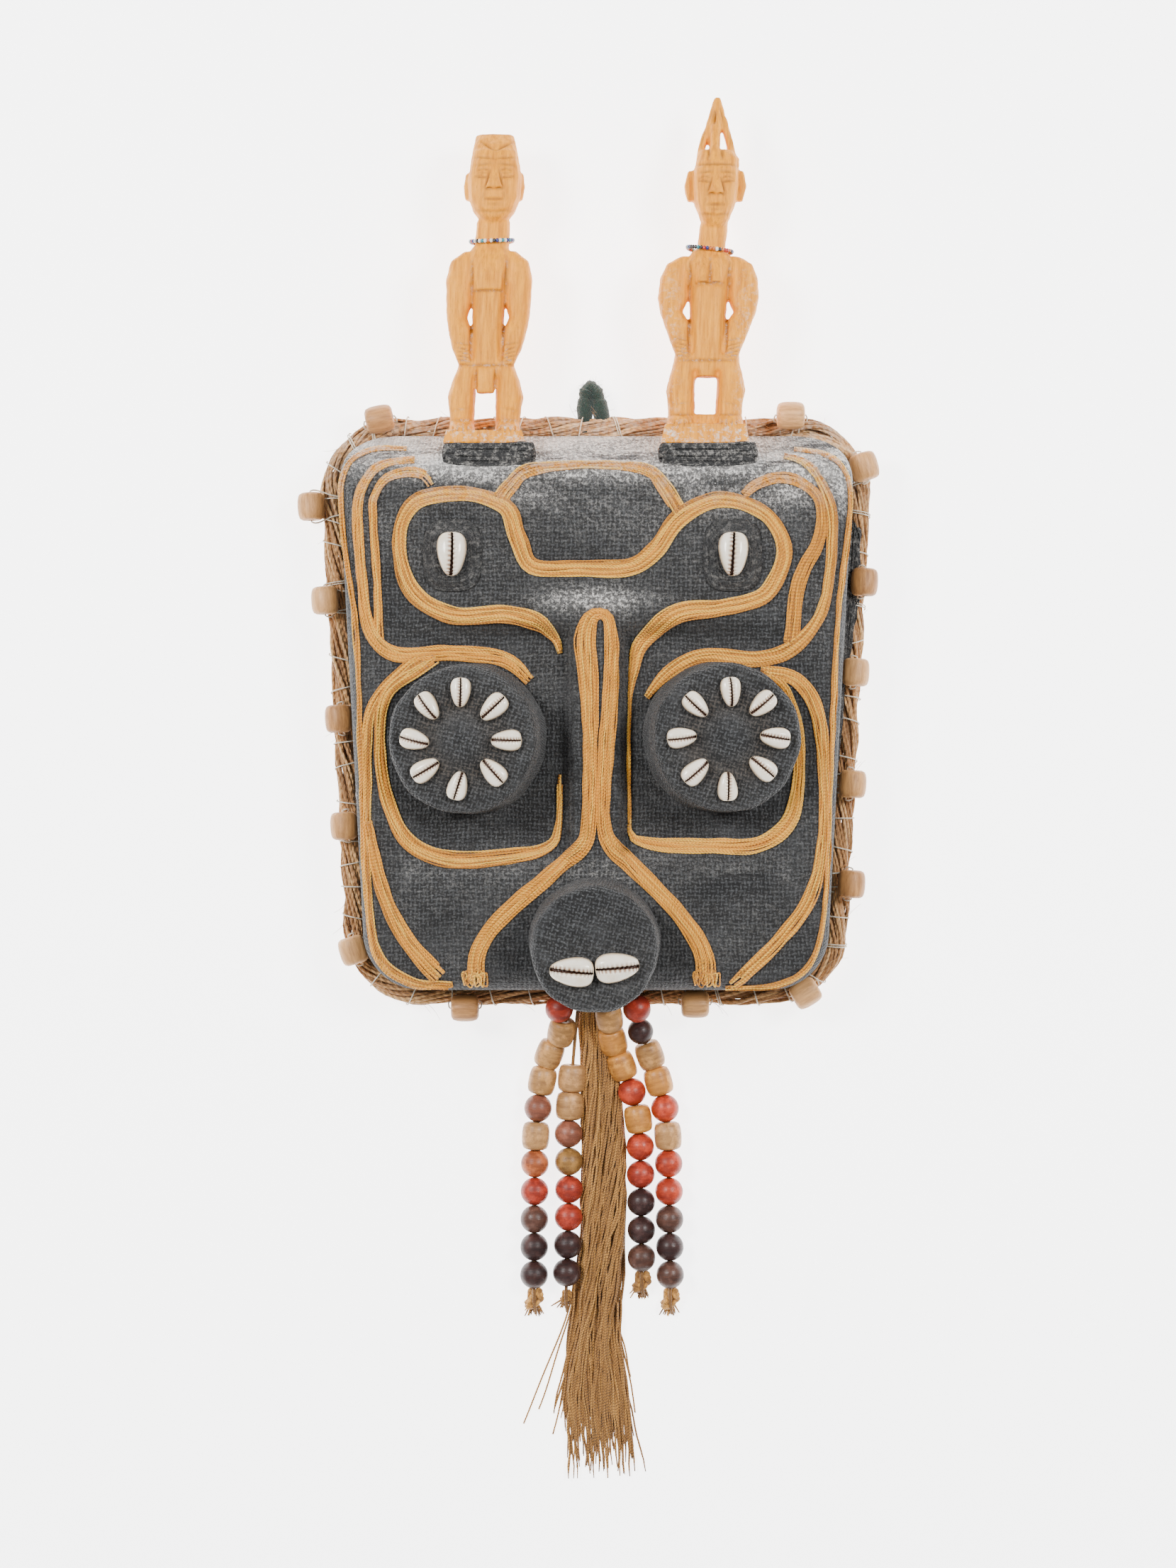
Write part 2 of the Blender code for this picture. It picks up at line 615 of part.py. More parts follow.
def rope():
    """A closed tube around the rim, a little uneven like a bundle of fibre."""
    bm = bmesh.new()
    rings = []
    path = rim_path(ROPE_RADIUS * (1 + ROPE_UNEVEN) + 4 * GAP)
    for i, (centre, out) in enumerate(path):
        radius = ROPE_RADIUS * (1 + ROPE_UNEVEN * math.sin(2.3 * i) * math.sin(0.9 * i + 1))
        ring = []
        for k in range(6):
            a = math.pi / 3 * k
            side = out * radius * math.cos(a)
            ring.append(bm.verts.new((centre.x + side.x, centre.y + side.y, ROPE_Z + radius * math.sin(a))))
        rings.append(ring)
    join_rings(bm, [*rings, rings[0]])
    finish(bm, "edge_rope", "fibre")


def barrel(bm, frame, radius, length, sides=8):
    """A barrel bead along the frame's X axis."""
    profile = [(0, length / 2), (radius * 0.74, length / 2), (radius, 0), (radius * 0.74, -length / 2), (0, -length / 2)]
    turned(bm, profile, sides, frame @ Matrix.Rotation(math.radians(90), 4, "Y"))


# Where each bead is tied along the rim: its place seen from above, clockwise from the top left.
EDGE_BEADS = (
    (-0.119, 0.1605), (0.107, 0.1625), (0.1475, 0.1345), (0.1475, 0.071), (0.1405, 0.0215),
    (0.141, -0.040), (0.1405, -0.095), (0.114, -0.153), (0.0545, -0.161), (-0.072, -0.163),
    (-0.132, -0.131), (-0.1385, -0.063), (-0.1395, -0.004), (-0.149, 0.061), (-0.157, 0.113),
)


def edge_beads():
    """Barrel beads against the shell's side, above the rope."""
    for number, place in enumerate(EDGE_BEADS, 1):
        x, y = on_rim(*place)
        out = way_out(x, y)
        reach = max(-inset(x, y), BARREL_RADIUS + 0.001)
        centre = Vector((x, y)) + out * (reach + inset(x, y))
        aside = reach - ROPE_RADIUS * (1 + ROPE_UNEVEN) - 4 * GAP
        clear = ROPE_RADIUS * (1 + ROPE_UNEVEN) + BARREL_RADIUS + GAP
        z = ROPE_Z + math.sqrt(max(clear**2 - aside**2, 0.0))
        z = max(z, BARREL_RADIUS)
        along = math.atan2(out.y, out.x) + math.pi / 2
        bm = bmesh.new()
        barrel(bm, Matrix.Translation((centre.x, centre.y, z)) @ Matrix.Rotation(along, 4, "Z"), BARREL_RADIUS, BARREL_LENGTH)
        finish(bm, f"edge_bead_{number}", "bead_wood")


BEAD_PITCH = 0.0154
ON_GROUND = BARREL_RADIUS
ON_ROPE = 0.0207
# Each string: the way it lies from the rope to its knot, how far along it the first bead sits, and its beads in
# order, b for a barrel and r for a round one.
BEAD_STRINGS = (
    (
        ((-0.0202, -0.1635, ON_ROPE), (-0.0192, -0.1775, 0.0127), (-0.0264, -0.1910, 0.0080),
         (-0.0313, -0.2140, ON_GROUND), (-0.0337, -0.2450, ON_GROUND), (-0.0344, -0.3400, ON_GROUND)),
        0.0, "rbbbrbrrrrr",
    ),
    (
        ((-0.0098, -0.1610, 0.0175), (-0.0108, -0.1720, 0.0150), (-0.0132, -0.2000, ON_GROUND),
         (-0.0152, -0.2300, ON_GROUND), (-0.0150, -0.2700, ON_GROUND), (-0.0168, -0.3300, ON_GROUND)),
        0.0435, "bbrrrrrr",
    ),
    (
        ((0.0073, -0.1685, 0.0172), (0.0098, -0.1835, 0.0095), (0.0152, -0.1980, ON_GROUND),
         (0.0205, -0.2125, ON_GROUND), (0.0238, -0.2285, ON_GROUND), (0.0248, -0.2550, ON_GROUND),
         (0.0255, -0.3300, ON_GROUND)),
        0.0, "bbbrbrrrrr",
    ),
    (
        ((0.0225, -0.1635, ON_ROPE), (0.0247, -0.1770, 0.0128), (0.0300, -0.1905, 0.0078),
         (0.0347, -0.2050, ON_GROUND), (0.0384, -0.2205, ON_GROUND), (0.0402, -0.2450, ON_GROUND),
         (0.0414, -0.3400, ON_GROUND)),
        0.0, "rrbbrbrrrrr",
    ),
)


def along_route(route, start, pitch, count):
    """Points a pitch apart, measured along a smooth curve through the route's points."""
    curve = [Vector(p) for p in curve_through(route, 0.002)]
    out, passed, wanted = [], 0.0, start
    for a, b in zip(curve, curve[1:]):
        step = (b - a).length
        while len(out) < count and wanted <= passed + step:
            point = a.lerp(b, (wanted - passed) / step)
            point.z = max(point.z, ON_GROUND)
            out.append(point)
            wanted += pitch
        passed += step
    ahead = (curve[-1] - curve[-2]).normalized()
    while len(out) < count:
        out.append(curve[-1] + ahead * (wanted - passed))
        wanted += pitch
    return out


# Half profiles of what is threaded on a string: share of its half length and of its radius.
BARREL_PROFILE = ((-1, 0.74), (0, 1), (1, 0.74))
ROUND_PROFILE = ((-0.72, 0.7), (0, 1), (0.72, 0.7))


def bead_strings():
    """Beads threaded on a cord that ends in a knot, lying on the ground below the mouth."""
    for number, (read_route, start, kinds) in enumerate(BEAD_STRINGS, 1):
        route = below_rim(read_route)
        centres = along_route(route, start, BEAD_PITCH, len(kinds) + 1)
        lead = [Vector(p) for p in curve_through(route, 0.008) if p[1] > centres[0].y + BEAD_PITCH * 0.7]
        ways = [(centres[min(i + 1, len(kinds))] - centres[max(i - 1, 0)]).normalized() for i in range(len(kinds) + 1)]
        points = [*lead, centres[0] - ways[0] * (BEAD_PITCH / 2 + GAP)]
        radii = [STRING_RADIUS] * len(points)
        for i, kind in enumerate(kinds + "k"):
            half, radius, profile = {
                "b": (BARREL_LENGTH / 2 - 2 * GAP, BARREL_RADIUS, BARREL_PROFILE),
                "r": (ROUND_BEAD_RADIUS, ROUND_BEAD_RADIUS, ROUND_PROFILE),
                "k": (KNOT_RADIUS, KNOT_RADIUS, ROUND_PROFILE),
            }[kind]
            if i:
                points.append((centres[i - 1] + centres[i]) / 2)
                radii.append(STRING_RADIUS)
            for share, wide in profile:
                points.append(centres[i] + ways[i] * half * share)
                radii.append(radius * wide)
        points.append(centres[-1] + ways[-1] * KNOT_RADIUS * 2)
        radii.append(STRING_RADIUS)
        bm = bmesh.new()
        tube(bm, points, radii, 6)
        finish(bm, f"bead_string_{number}", "red_beads")


def tube(bm, points, radius, sides):
    """A closed tube of a few sides along points, of one radius or of one at each point."""
    radii = radius if isinstance(radius, list) else [radius] * len(points)
    rings = []
    for i, point in enumerate(points):
        along = (points[min(i + 1, len(points) - 1)] - points[max(i - 1, 0)]).normalized()
        side = along.cross(Vector((0, 0, 1)))
        side = side.normalized() if side.length > 0.1 else Vector((1, 0, 0))
        up = side.cross(along)
        ring = []
        for k in range(sides):
            a = 2 * math.pi * (k + 0.5) / sides
            ring.append(bm.verts.new(point + (side * math.cos(a) + up * math.sin(a)) * radii[i]))
        rings.append(ring)
    join_rings(bm, rings)
    bm.faces.new(rings[0])
    bm.faces.new(rings[-1])


def hanging_loop():
    """An upside-down V of felted wool that stands out from the top edge."""
    foot = SHELL_HEIGHT / 2 + 2 * ROPE_RADIUS + 0.0025
    z = LOOP_RADIUS + 0.002
    points = []
    for i in range(11):
        a = math.pi * i / 10
        x = LOOP_HALF_WIDTH * math.cos(a) * (1 + 0.12 * (1 - math.sin(a)))
        points.append(Vector((x, foot + (LOOP_HEIGHT - LOOP_RADIUS) * math.sin(a) ** 0.8, z)))
    bm = bmesh.new()
    tube(bm, points, LOOP_RADIUS, 8)
    finish(bm, "hanging_loop", "green_wool")


# The tassel's outline: share of its length from the top, left edge and right edge.
TASSEL_SHAPE = (
    (0.0, -0.0065, -0.0007), (0.07, -0.0066, 0.0010), (0.15, -0.0058, 0.0062), (0.25, -0.0066, 0.0135),
    (0.55, -0.0065, 0.0160), (0.69, -0.0105, 0.0125), (0.86, -0.0165, 0.0170), (1.0, -0.0130, 0.0230),
)


def tassel():
    """The whole bundle of cords as one flat body; it lies between the two inner strings."""
    bm = bmesh.new()
    rings = []
    for share, left, right in TASSEL_SHAPE:
        y = TASSEL_TOP_Y - share * TASSEL_LENGTH
        height = TASSEL_DEPTH * (1 - 0.35 * share)
        middle, half = (left + right) / 2, (right - left) / 2
        ring = []
        for k in range(10):
            a = 2 * math.pi * k / 10
            ring.append(bm.verts.new((middle + half * math.cos(a), y, height / 2 * (1 + math.sin(a)) + 0.0003)))
        rings.append(ring)
    join_rings(bm, rings)
    bm.faces.new(rings[0])
    bm.faces.new(rings[-1])
    finish(bm, "tassel", "fibre")


def loft(bm, sections, frame, sides=10, square=0.75):
    """A closed body from sections (height, centre x, centre z, half width, half depth) along the frame's Y."""
    rings = []
    for y, cx, cz, half, deep in sections:
        ring = []
        for k in range(sides):
            a = 2 * math.pi * (k + 0.5) / sides
            c, s = math.cos(a), math.sin(a)
            px = cx + half * math.copysign(abs(c) ** square, c)
            pz = cz + deep * math.copysign(abs(s) ** square, s)
            ring.append(bm.verts.new(frame @ Vector((px, y, pz))))
        rings.append(ring)
    join_rings(bm, rings)
    bm.faces.new(rings[0])
    bm.faces.new(rings[-1])


def block(bm, frame, low, high):
    """A box between two corners."""
    made = bmesh.ops.create_cube(bm, size=1)
    size = Vector(high) - Vector(low)
    middle = (Vector(high) + Vector(low)) / 2
    place = frame @ Matrix.Translation(middle) @ Matrix.Diagonal((*size, 1))
    bmesh.ops.transform(bm, matrix=place, verts=made["verts"])


# The figures' bodies as shares of their height: height, centre x, centre z, half width, half depth.
TORSO = (
    (0.18, 0, 0, 0.235, 0.085), (0.27, 0, 0, 0.250, 0.095), (0.34, 0, 0, 0.175, 0.085), (0.50, 0, 0, 0.160, 0.085),
    (0.56, 0, 0, 0.235, 0.090), (0.60, 0, 0, 0.330, 0.085), (0.635, 0, 0, 0.300, 0.070), (0.655, 0, 0, 0.140, 0.060),
    (0.72, 0, 0, 0.125, 0.060),
)
LEG = (
    (-0.005, 0.165, 0.010, 0.095, 0.090), (0.045, 0.165, 0.0, 0.095, 0.085), (0.065, 0.170, 0, 0.072, 0.070),
    (0.130, 0.180, 0, 0.095, 0.085), (0.215, 0.150, 0, 0.110, 0.090),
)
ARM = (
    (0.615, 0.300, 0, 0.070, 0.060), (0.540, 0.325, 0, 0.065, 0.065), (0.440, 0.300, 0.01, 0.055, 0.060),
    (0.340, 0.235, 0.03, 0.060, 0.060), (0.285, 0.190, 0.05, 0.062, 0.045),
)
HEAD = (
    (0.670, 0, 0.005, 0.110, 0.070), (0.700, 0, 0.010, 0.190, 0.088), (0.760, 0, 0.010, 0.235, 0.100),
    (0.850, 0, 0.010, 0.225, 0.100), (0.880, 0, 0.005, 0.190, 0.090),
)
HAT = (
    (0.868, 0, 0.0, 0.215, 0.100), (0.900, 0, 0.0, 0.200, 0.095), (0.935, 0, -0.010, 0.165, 0.080), (1.0, 0, -0.020, 0.120, 0.050),
)
CREST = (
    (0.865, 0, 0.0, 0.200, 0.095), (0.900, 0, 0.0, 0.200, 0.080), (0.925, 0, -0.005, 0.235, 0.060),
    (0.955, 0, -0.010, 0.180, 0.050), (1.0, 0, -0.015, 0.035, 0.035),
)
EAR = ((0.735, 0.205, 0, 0.035, 0.030), (0.775, 0.225, 0, 0.055, 0.040), (0.825, 0.205, 0, 0.040, 0.030))
NOSE = ((0.745, 0, 0.105, 0.055, 0.032), (0.775, 0, 0.105, 0.045, 0.028), (0.835, 0, 0.098, 0.022, 0.016))
FLAP = ((0.190, 0, 0.085, 0.085, 0.030), (0.300, 0, 0.080, 0.100, 0.035))
CHEST = ((0.500, 0.085, 0.075, 0.075, 0.030), (0.530, 0.090, 0.085, 0.080, 0.035), (0.585, 0.095, 0.065, 0.070, 0.030))


def scaled(sections, height, width_scale, mirror=1):
    """Sections in metres: heights by the figure's height, widths by its own scale."""
    return [
        (y * height, mirror * cx * width_scale, cz * height, half * width_scale, deep * height)
        for y, cx, cz, half, deep in sections
    ]


def figure(side, x, height, wide, topped, chest):
    """A standing figure on its base block, hands on its belly, as seen from the front lying face up."""
    frame = Matrix.Translation((x, FIGURE_FEET_Y, FIGURE_Z))
    parts = [(TORSO, 1), (LEG, 1), (LEG, -1), (ARM, 1), (ARM, -1), (HEAD, 1), (topped, 1), (EAR, 1), (EAR, -1), (NOSE, 1)]
    parts += [(CHEST, 1), (CHEST, -1)] if chest else [(FLAP, 1)]
    makers = []
    for sections, mirror in parts:
        sides = 4 if sections in (EAR, NOSE) else 6 if sections in (FLAP, CHEST, ARM, LEG) else 8
        shape = scaled(sections, height, wide, mirror)
        makers.append(lambda bm, shape=shape, sides=sides: loft(bm, shape, frame, sides))
    half = BASE_WIDTH / 2
    low = (-half, -BASE_HEIGHT, -FIGURE_DEPTH / 2)
    makers.append(lambda bm: block(bm, frame, low, (half, 0.0, FIGURE_DEPTH / 2)))
    united(f"figure_{side}", "figure_wood", makers, (face,))
    necklace(side, frame, height, wide)
    base_wrap(side, x)


def necklace(side, frame, height, wide):
    """A ring of seed beads low around the neck."""
    bm = bmesh.new()
    rings = []
    for i in range(12):
        a = 2 * math.pi * i / 12
        centre = Vector((0.165 * wide * math.cos(a), height * 0.668 - 0.012 * height * math.sin(a), 0.082 * height * math.sin(a)))
        out = Vector((math.cos(a), 0, math.sin(a)))
        ring = []
        for k in range(4):
            b = math.pi / 2 * (k + 0.5)
            point = centre + out * 0.0011 * math.cos(b) + Vector((0, 0.0011 * math.sin(b), 0))
            ring.append(bm.verts.new(frame @ point))
        rings.append(ring)
    join_rings(bm, [*rings, rings[0]])
    finish(bm, f"necklace_{side}", "red_beads", (bpy.data.objects[f"neck_cutter_{side}"],))


def neck_cutter(side, x, height, wide):
    """The figure's neck and shoulders, larger by the gap, which cut the necklace that lies on them."""
    bm = bmesh.new()
    grown = [(y, cx, cz, half + GAP / height, deep + GAP / height) for y, cx, cz, half, deep in TORSO[5:]]
    frame = Matrix.Translation((x, FIGURE_FEET_Y, FIGURE_Z))
    loft(bm, scaled(grown, height, wide), frame, 8)
    as_cutter(bm, f"neck_cutter_{side}")


def base_wrap(side, x):
    """A black cloth band that carries the figure's base block on the shell's top slope."""
    half = WRAP_WIDTH / 2
    frame = Matrix.Translation((x, FIGURE_FEET_Y - BASE_HEIGHT - GAP, FIGURE_Z))
    low = (-half, -WRAP_HEIGHT, -FIGURE_DEPTH / 2 - 0.003)
    bm = bmesh.new()
    block(bm, frame, low, (half, 0.0, FIGURE_DEPTH / 2 + 0.002))
    finish(bm, f"base_wrap_{side}", "black_cord", (face,))


def to_origin():
    """Moves everything so that the middle of the footprint is the origin, with the back rim on the ground."""
    bpy.context.view_layer.update()
    graph = bpy.context.evaluated_depsgraph_get()
    corners = [
        obj.matrix_world @ Vector(corner) for obj in mask.objects for corner in obj.evaluated_get(graph).bound_box
    ]
    low = [min(corner[k] for corner in corners) for k in range(3)]
    high = [max(corner[k] for corner in corners) for k in range(3)]
    shift = Matrix.Translation((-(low[0] + high[0]) / 2, -(low[1] + high[1]) / 2, -low[2]))
    for obj in [*mask.objects, *cutters.objects]:
        obj.data.transform(shift)
    bpy.context.view_layer.update()


for old in list(bpy.data.objects):
    bpy.data.objects.remove(old)
mask = bpy.data.collections.new("shell_and_reed_mask")
cutters = bpy.data.collections.new("cutters")
drum_cutters = []
bpy.context.scene.collection.children.link(mask)
bpy.context.scene.collection.children.link(cutters)
shell()
face = face_cutter()
eye("left", -1)
eye("right", 1)
mouth()
small_eye("left", -1)
small_eye("right", 1)
bands()
rope()
edge_beads()
bead_strings()
tassel()
hanging_loop()
neck_cutter("left", FIGURE_LEFT_X, FIGURE_LEFT_HEIGHT, FIGURE_LEFT_BREADTH)
neck_cutter("right", FIGURE_RIGHT_X, FIGURE_RIGHT_HEIGHT, FIGURE_RIGHT_BREADTH)
figure("left", FIGURE_LEFT_X, FIGURE_LEFT_HEIGHT, FIGURE_LEFT_BREADTH, HAT, False)
figure("right", FIGURE_RIGHT_X, FIGURE_RIGHT_HEIGHT, FIGURE_RIGHT_BREADTH, CREST, True)
to_origin()
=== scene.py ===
"""The looks of the shell and reed mask: burlap, thread, cowries, carved wood, beads and cord."""
import math

import bmesh
import bpy
import numpy as np
from mathutils import Matrix, Vector, noise


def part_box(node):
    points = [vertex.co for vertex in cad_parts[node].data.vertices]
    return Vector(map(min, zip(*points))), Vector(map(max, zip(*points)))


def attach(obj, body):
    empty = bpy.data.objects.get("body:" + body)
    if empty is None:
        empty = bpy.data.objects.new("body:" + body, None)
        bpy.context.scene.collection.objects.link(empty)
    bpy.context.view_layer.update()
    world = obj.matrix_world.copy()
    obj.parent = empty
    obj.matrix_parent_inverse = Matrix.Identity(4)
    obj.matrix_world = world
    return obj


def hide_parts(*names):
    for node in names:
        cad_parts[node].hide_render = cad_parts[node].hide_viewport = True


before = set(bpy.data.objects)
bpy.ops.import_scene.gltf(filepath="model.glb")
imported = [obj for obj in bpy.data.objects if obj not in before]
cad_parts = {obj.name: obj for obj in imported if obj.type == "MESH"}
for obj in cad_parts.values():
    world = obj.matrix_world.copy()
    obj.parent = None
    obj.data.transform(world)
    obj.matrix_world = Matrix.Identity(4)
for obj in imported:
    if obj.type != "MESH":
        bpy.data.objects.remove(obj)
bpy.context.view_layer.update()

rng = np.random.default_rng(7)

# The middle of the shell in the row frame: every place below is measured from it.
LOW, HIGH = (Vector(corner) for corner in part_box("mask_shell"))
ORIGIN = Vector(((LOW.x + HIGH.x) / 2, (LOW.y + HIGH.y) / 2, 0))

# The shell, as in the frame.
TOP_WIDTH = 0.282
LOW_WIDTH = 0.250
HEIGHT = 0.304
DEPTH = 0.053
CORNER = 0.030
SIDE_ROUND = 0.015
WALL = 0.007
BEVEL_RUN = 0.021
BACK_DEPTH = 0.014
BULGE = 0.005
SOCKET = 0.012
SOCKET_TOP = 0.050
SOCKET_BOTTOM = -0.080
NOSE_HALF = 0.014
NOSE_SLOPE = 0.008

# The drums: place, radius, height and tilt.
EYE = dict(x=0.0665, y=-0.0155, radius=0.0395, height=0.033, tilt=math.radians(6))
MOUTH = dict(x=-0.001, y=-0.1275, radius=0.0335, height=0.034, tilt=0.0)
BOSS_RADIUS = 0.012
BOSS_HEIGHT = 0.002
ROLL = 0.0035
DRUM_SIDES = 112
# How far the left drum and the small eyes sit from their even places in the photograph.
LEFT_DRUM_SHIFT = (-0.0017, -0.0009)
SMALL_EYE_SHIFT = {"left": 0.0003, "right": 0.0037}
COWRIE_RING = 0.0248
EYE_COWRIE = (0.016, 0.0116, 0.006)
MOUTH_COWRIE = (0.0232, 0.0162, 0.008)
SMALL_EYE_COWRIE = (0.0234, 0.0164, 0.008)
SMALL_EYE = (0.077, 0.083)
PAD = (0.030, 0.0375, 0.006)
GAP = 0.0003
SIDES = (("left", -1), ("right", 1))

# The rim's rope and beads, the strings and the thread.
ROPE_RADIUS = 0.0055
ROPE_OUT = 0.0071
ROPE_STRANDS = 36
ROPE_Z = 0.0075
BEAD_SIDES = 26
BARREL_RADIUS = 0.0076
BARREL_LENGTH = 0.0152
ROUND_RADIUS = 0.0077
STRING_DIAMETER = 0.0018
LOOP_RADIUS = 0.0043
BEAD_PITCH = 0.0154
THREAD_RADIUS = 0.00052
WEAVE_PITCH = 0.0024


class Paint:
    """A Principled material with short calls for its nodes."""

    def __init__(self, name, roughness=0.8):
        self.material = bpy.data.materials.new(name)
        self.material.use_nodes = True
        self.tree = self.material.node_tree
        self.shader = self.tree.nodes["Principled BSDF"]
        self.shader.inputs["Roughness"].default_value = roughness

    def put(self, socket, value):
        if isinstance(value, bpy.types.NodeSocket):
            self.tree.links.new(value, socket)
        elif isinstance(value, tuple) and len(value) == 3 and socket.type == "RGBA":
            socket.default_value = (*value, 1)
        else:
            socket.default_value = value

    def node(self, kind, output=0, settings=(), **inputs):
        made = self.tree.nodes.new(kind)
        for key, value in dict(settings).items():
            setattr(made, key, value)
        for key, value in inputs.items():
            self.put(made.inputs[int(key[1:]) if key[1:].isdigit() else key], value)
        return made.outputs[output]

    def math(self, operation, a, b=0.0, c=0.0):
        return self.node("ShaderNodeMath", settings={"operation": operation}, _0=a, _1=b, _2=c)

    def scaled_add(self, vector, scale, start):
        settings = {"operation": "MULTIPLY_ADD"}
        return self.node("ShaderNodeVectorMath", 0, settings, _0=vector, _1=scale, _2=start)

    def mix(self, factor, a, b):
        return self.node("ShaderNodeMix", 2, {"data_type": "RGBA"}, _0=factor, _6=a, _7=b)

    def place(self):
        return self.node("ShaderNodeTexCoord", "Object")

    def split(self, vector, axis):
        return self.node("ShaderNodeSeparateXYZ", axis, _0=vector)

    def noise(self, scale, detail=4.0, vector=None, roughness=0.55):
        where = self.place() if vector is None else vector
        return self.node(
            "ShaderNodeTexNoise", 0, Vector=where, Scale=scale, Detail=detail, Roughness=roughness
        )

    def stretch(self, scale, vector=None):
        where = self.place() if vector is None else vector
        return self.node("ShaderNodeMapping", 0, Vector=where, Scale=scale)

    def spread(self, value, low, high, to_low=0.0, to_high=1.0):
        return self.node("ShaderNodeMapRange", 0, _0=value, _1=low, _2=high, _3=to_low, _4=to_high)

    def attribute(self, name):
        return self.node("ShaderNodeAttribute", "Fac", {"attribute_name": name})

    def attribute_vector(self, name):
        return self.node("ShaderNodeAttribute", "Vector", {"attribute_name": name})

    def finish(self, colour, bump=None, strength=0.5, distance=0.001, roughness=None):
        self.put(self.shader.inputs["Base Color"], colour)
        if bump is not None:
            normal = self.node("ShaderNodeBump", 0, Strength=strength, Distance=distance, Height=bump)
            self.put(self.shader.inputs["Normal"], normal)
        if roughness is not None:
            self.put(self.shader.inputs["Roughness"], roughness)
        return self.material


def burlap_paint(name):
    """Coarse black burlap: a plain weave with open holes, loose fibres and pale dust."""
    p = Paint(name, 0.9)
    cloth = p.attribute_vector("cloth")
    wander = p.node("ShaderNodeTexNoise", 1, Vector=cloth, Scale=34.0, Detail=2.0)
    jitter = p.node("ShaderNodeTexNoise", 1, Vector=cloth, Scale=210.0, Detail=1.0)
    drifted = p.scaled_add(wander, (0.0050, 0.0050, 0), cloth)
    drifted = p.scaled_add(jitter, (0.0014, 0.0014, 0), drifted)
    turn = math.pi / WEAVE_PITCH
    along = p.math("SINE", p.math("MULTIPLY", p.split(drifted, 0), turn))
    across = p.math("SINE", p.math("MULTIPLY", p.split(drifted, 1), turn))
    over = p.spread(p.math("MULTIPLY", along, across), -0.35, 0.35)
    fine = p.noise(900.0, 3.0)
    thick = p.spread(p.noise(230.0, 2.0, cloth), 0.3, 0.7, 0.68, 1.2)
    up = p.math("MULTIPLY", p.math("ABSOLUTE", along), p.spread(over, 0, 1, 0.72, 1.0))
    side = p.math("MULTIPLY", p.math("ABSOLUTE", across), p.spread(over, 0, 1, 1.0, 0.72))
    raised = p.math("MULTIPLY", p.math("MAXIMUM", up, side), thick)
    closed = p.spread(p.noise(52.0, 4.0, cloth), 0.50, 0.70, 0.0, 0.55)
    thread = p.math("MAXIMUM", p.spread(raised, 0.64, 0.84), closed)
    patch = p.noise(14.0, 4.0)
    light = p.mix(p.spread(fine, 0.35, 0.7), (0.0115, 0.012, 0.013), (0.072, 0.0755, 0.080))
    light = p.mix(p.spread(patch, 0.4, 0.7, 0.0, 0.5), light, (0.026, 0.026, 0.027))
    light = p.mix(p.math("MULTIPLY", p.attribute("brown"), 0.75), light, (0.046, 0.035, 0.026))
    colour = p.mix(thread, (0.0020, 0.0020, 0.0023), light)
    amount = p.attribute("dust")
    grains = p.spread(p.noise(480.0, 5.0, roughness=0.85), 0.50, 0.58)
    cloud = p.spread(p.noise(30.0, 6.0, p.stretch((0.45, 1.0, 1.0)), 0.65), 0.34, 0.58)
    dust = p.math("MULTIPLY", amount, p.math("MULTIPLY", p.math("ADD", grains, 0.16), cloud))
    specks = p.spread(p.noise(820.0, 2.0), 0.67, 0.71)
    specks = p.math("MULTIPLY", specks, p.math("ADD", amount, 0.04))
    dust = p.math("MAXIMUM", p.math("MULTIPLY", dust, 2.1), specks)
    dust = p.math("MINIMUM", dust, 0.92)
    colour = p.mix(dust, colour, (0.80, 0.77, 0.73))
    p.shader.inputs["Sheen Weight"].default_value = 0.12
    clear = p.math("SUBTRACT", 1.0, p.math("MULTIPLY", closed, 0.6))
    bump = p.math("ADD", p.math("MULTIPLY", raised, clear), p.math("MULTIPLY", fine, 0.35))
    return p.finish(colour, bump, 1.0, 0.0012)


def thread_paint(name, dark, mid, light, dusty=0.0):
    """Twisted plant thread: each strand has its own tint, with fine plies, painted shade in their
    grooves, and lint.
    """
    p = Paint(name, 0.72)
    tint = p.attribute("tint")
    ply = p.math("SINE", p.attribute("twist"))
    fine = p.noise(1300.0, 3.0)
    patch = p.noise(46.0, 4.0)
    base = p.mix(p.spread(tint, 0.0, 0.55), dark, mid)
    base = p.mix(p.spread(tint, 0.5, 1.0), base, light)
    base = p.mix(p.spread(patch, 0.35, 0.7, 0.0, 0.35), base, mid)
    base = p.mix(p.spread(fine, 0.55, 0.8, 0.0, 0.42), base, light)
    # The twist's grooves, where the bump is low, are mixed towards the dark tone: painted shade between
    # the plies.
    base = p.mix(p.spread(ply, -1.0, -0.2, 0.45, 0.0), base, dark)
    if dusty:
        y = p.split(p.place(), 1)
        top = p.spread(y, ORIGIN.y + 0.105, ORIGIN.y + 0.155)
        grain = p.spread(p.noise(240.0, 5.0, roughness=0.75), 0.42, 0.6)
        dust = p.math("MULTIPLY", p.math("MULTIPLY", top, grain), dusty)
        base = p.mix(dust, base, (0.80, 0.74, 0.64))
    p.shader.inputs["Sheen Weight"].default_value = 0.15
    bump = p.math("ADD", p.math("MULTIPLY", ply, 0.6), fine)
    return p.finish(base, bump, 0.8, 0.0007)


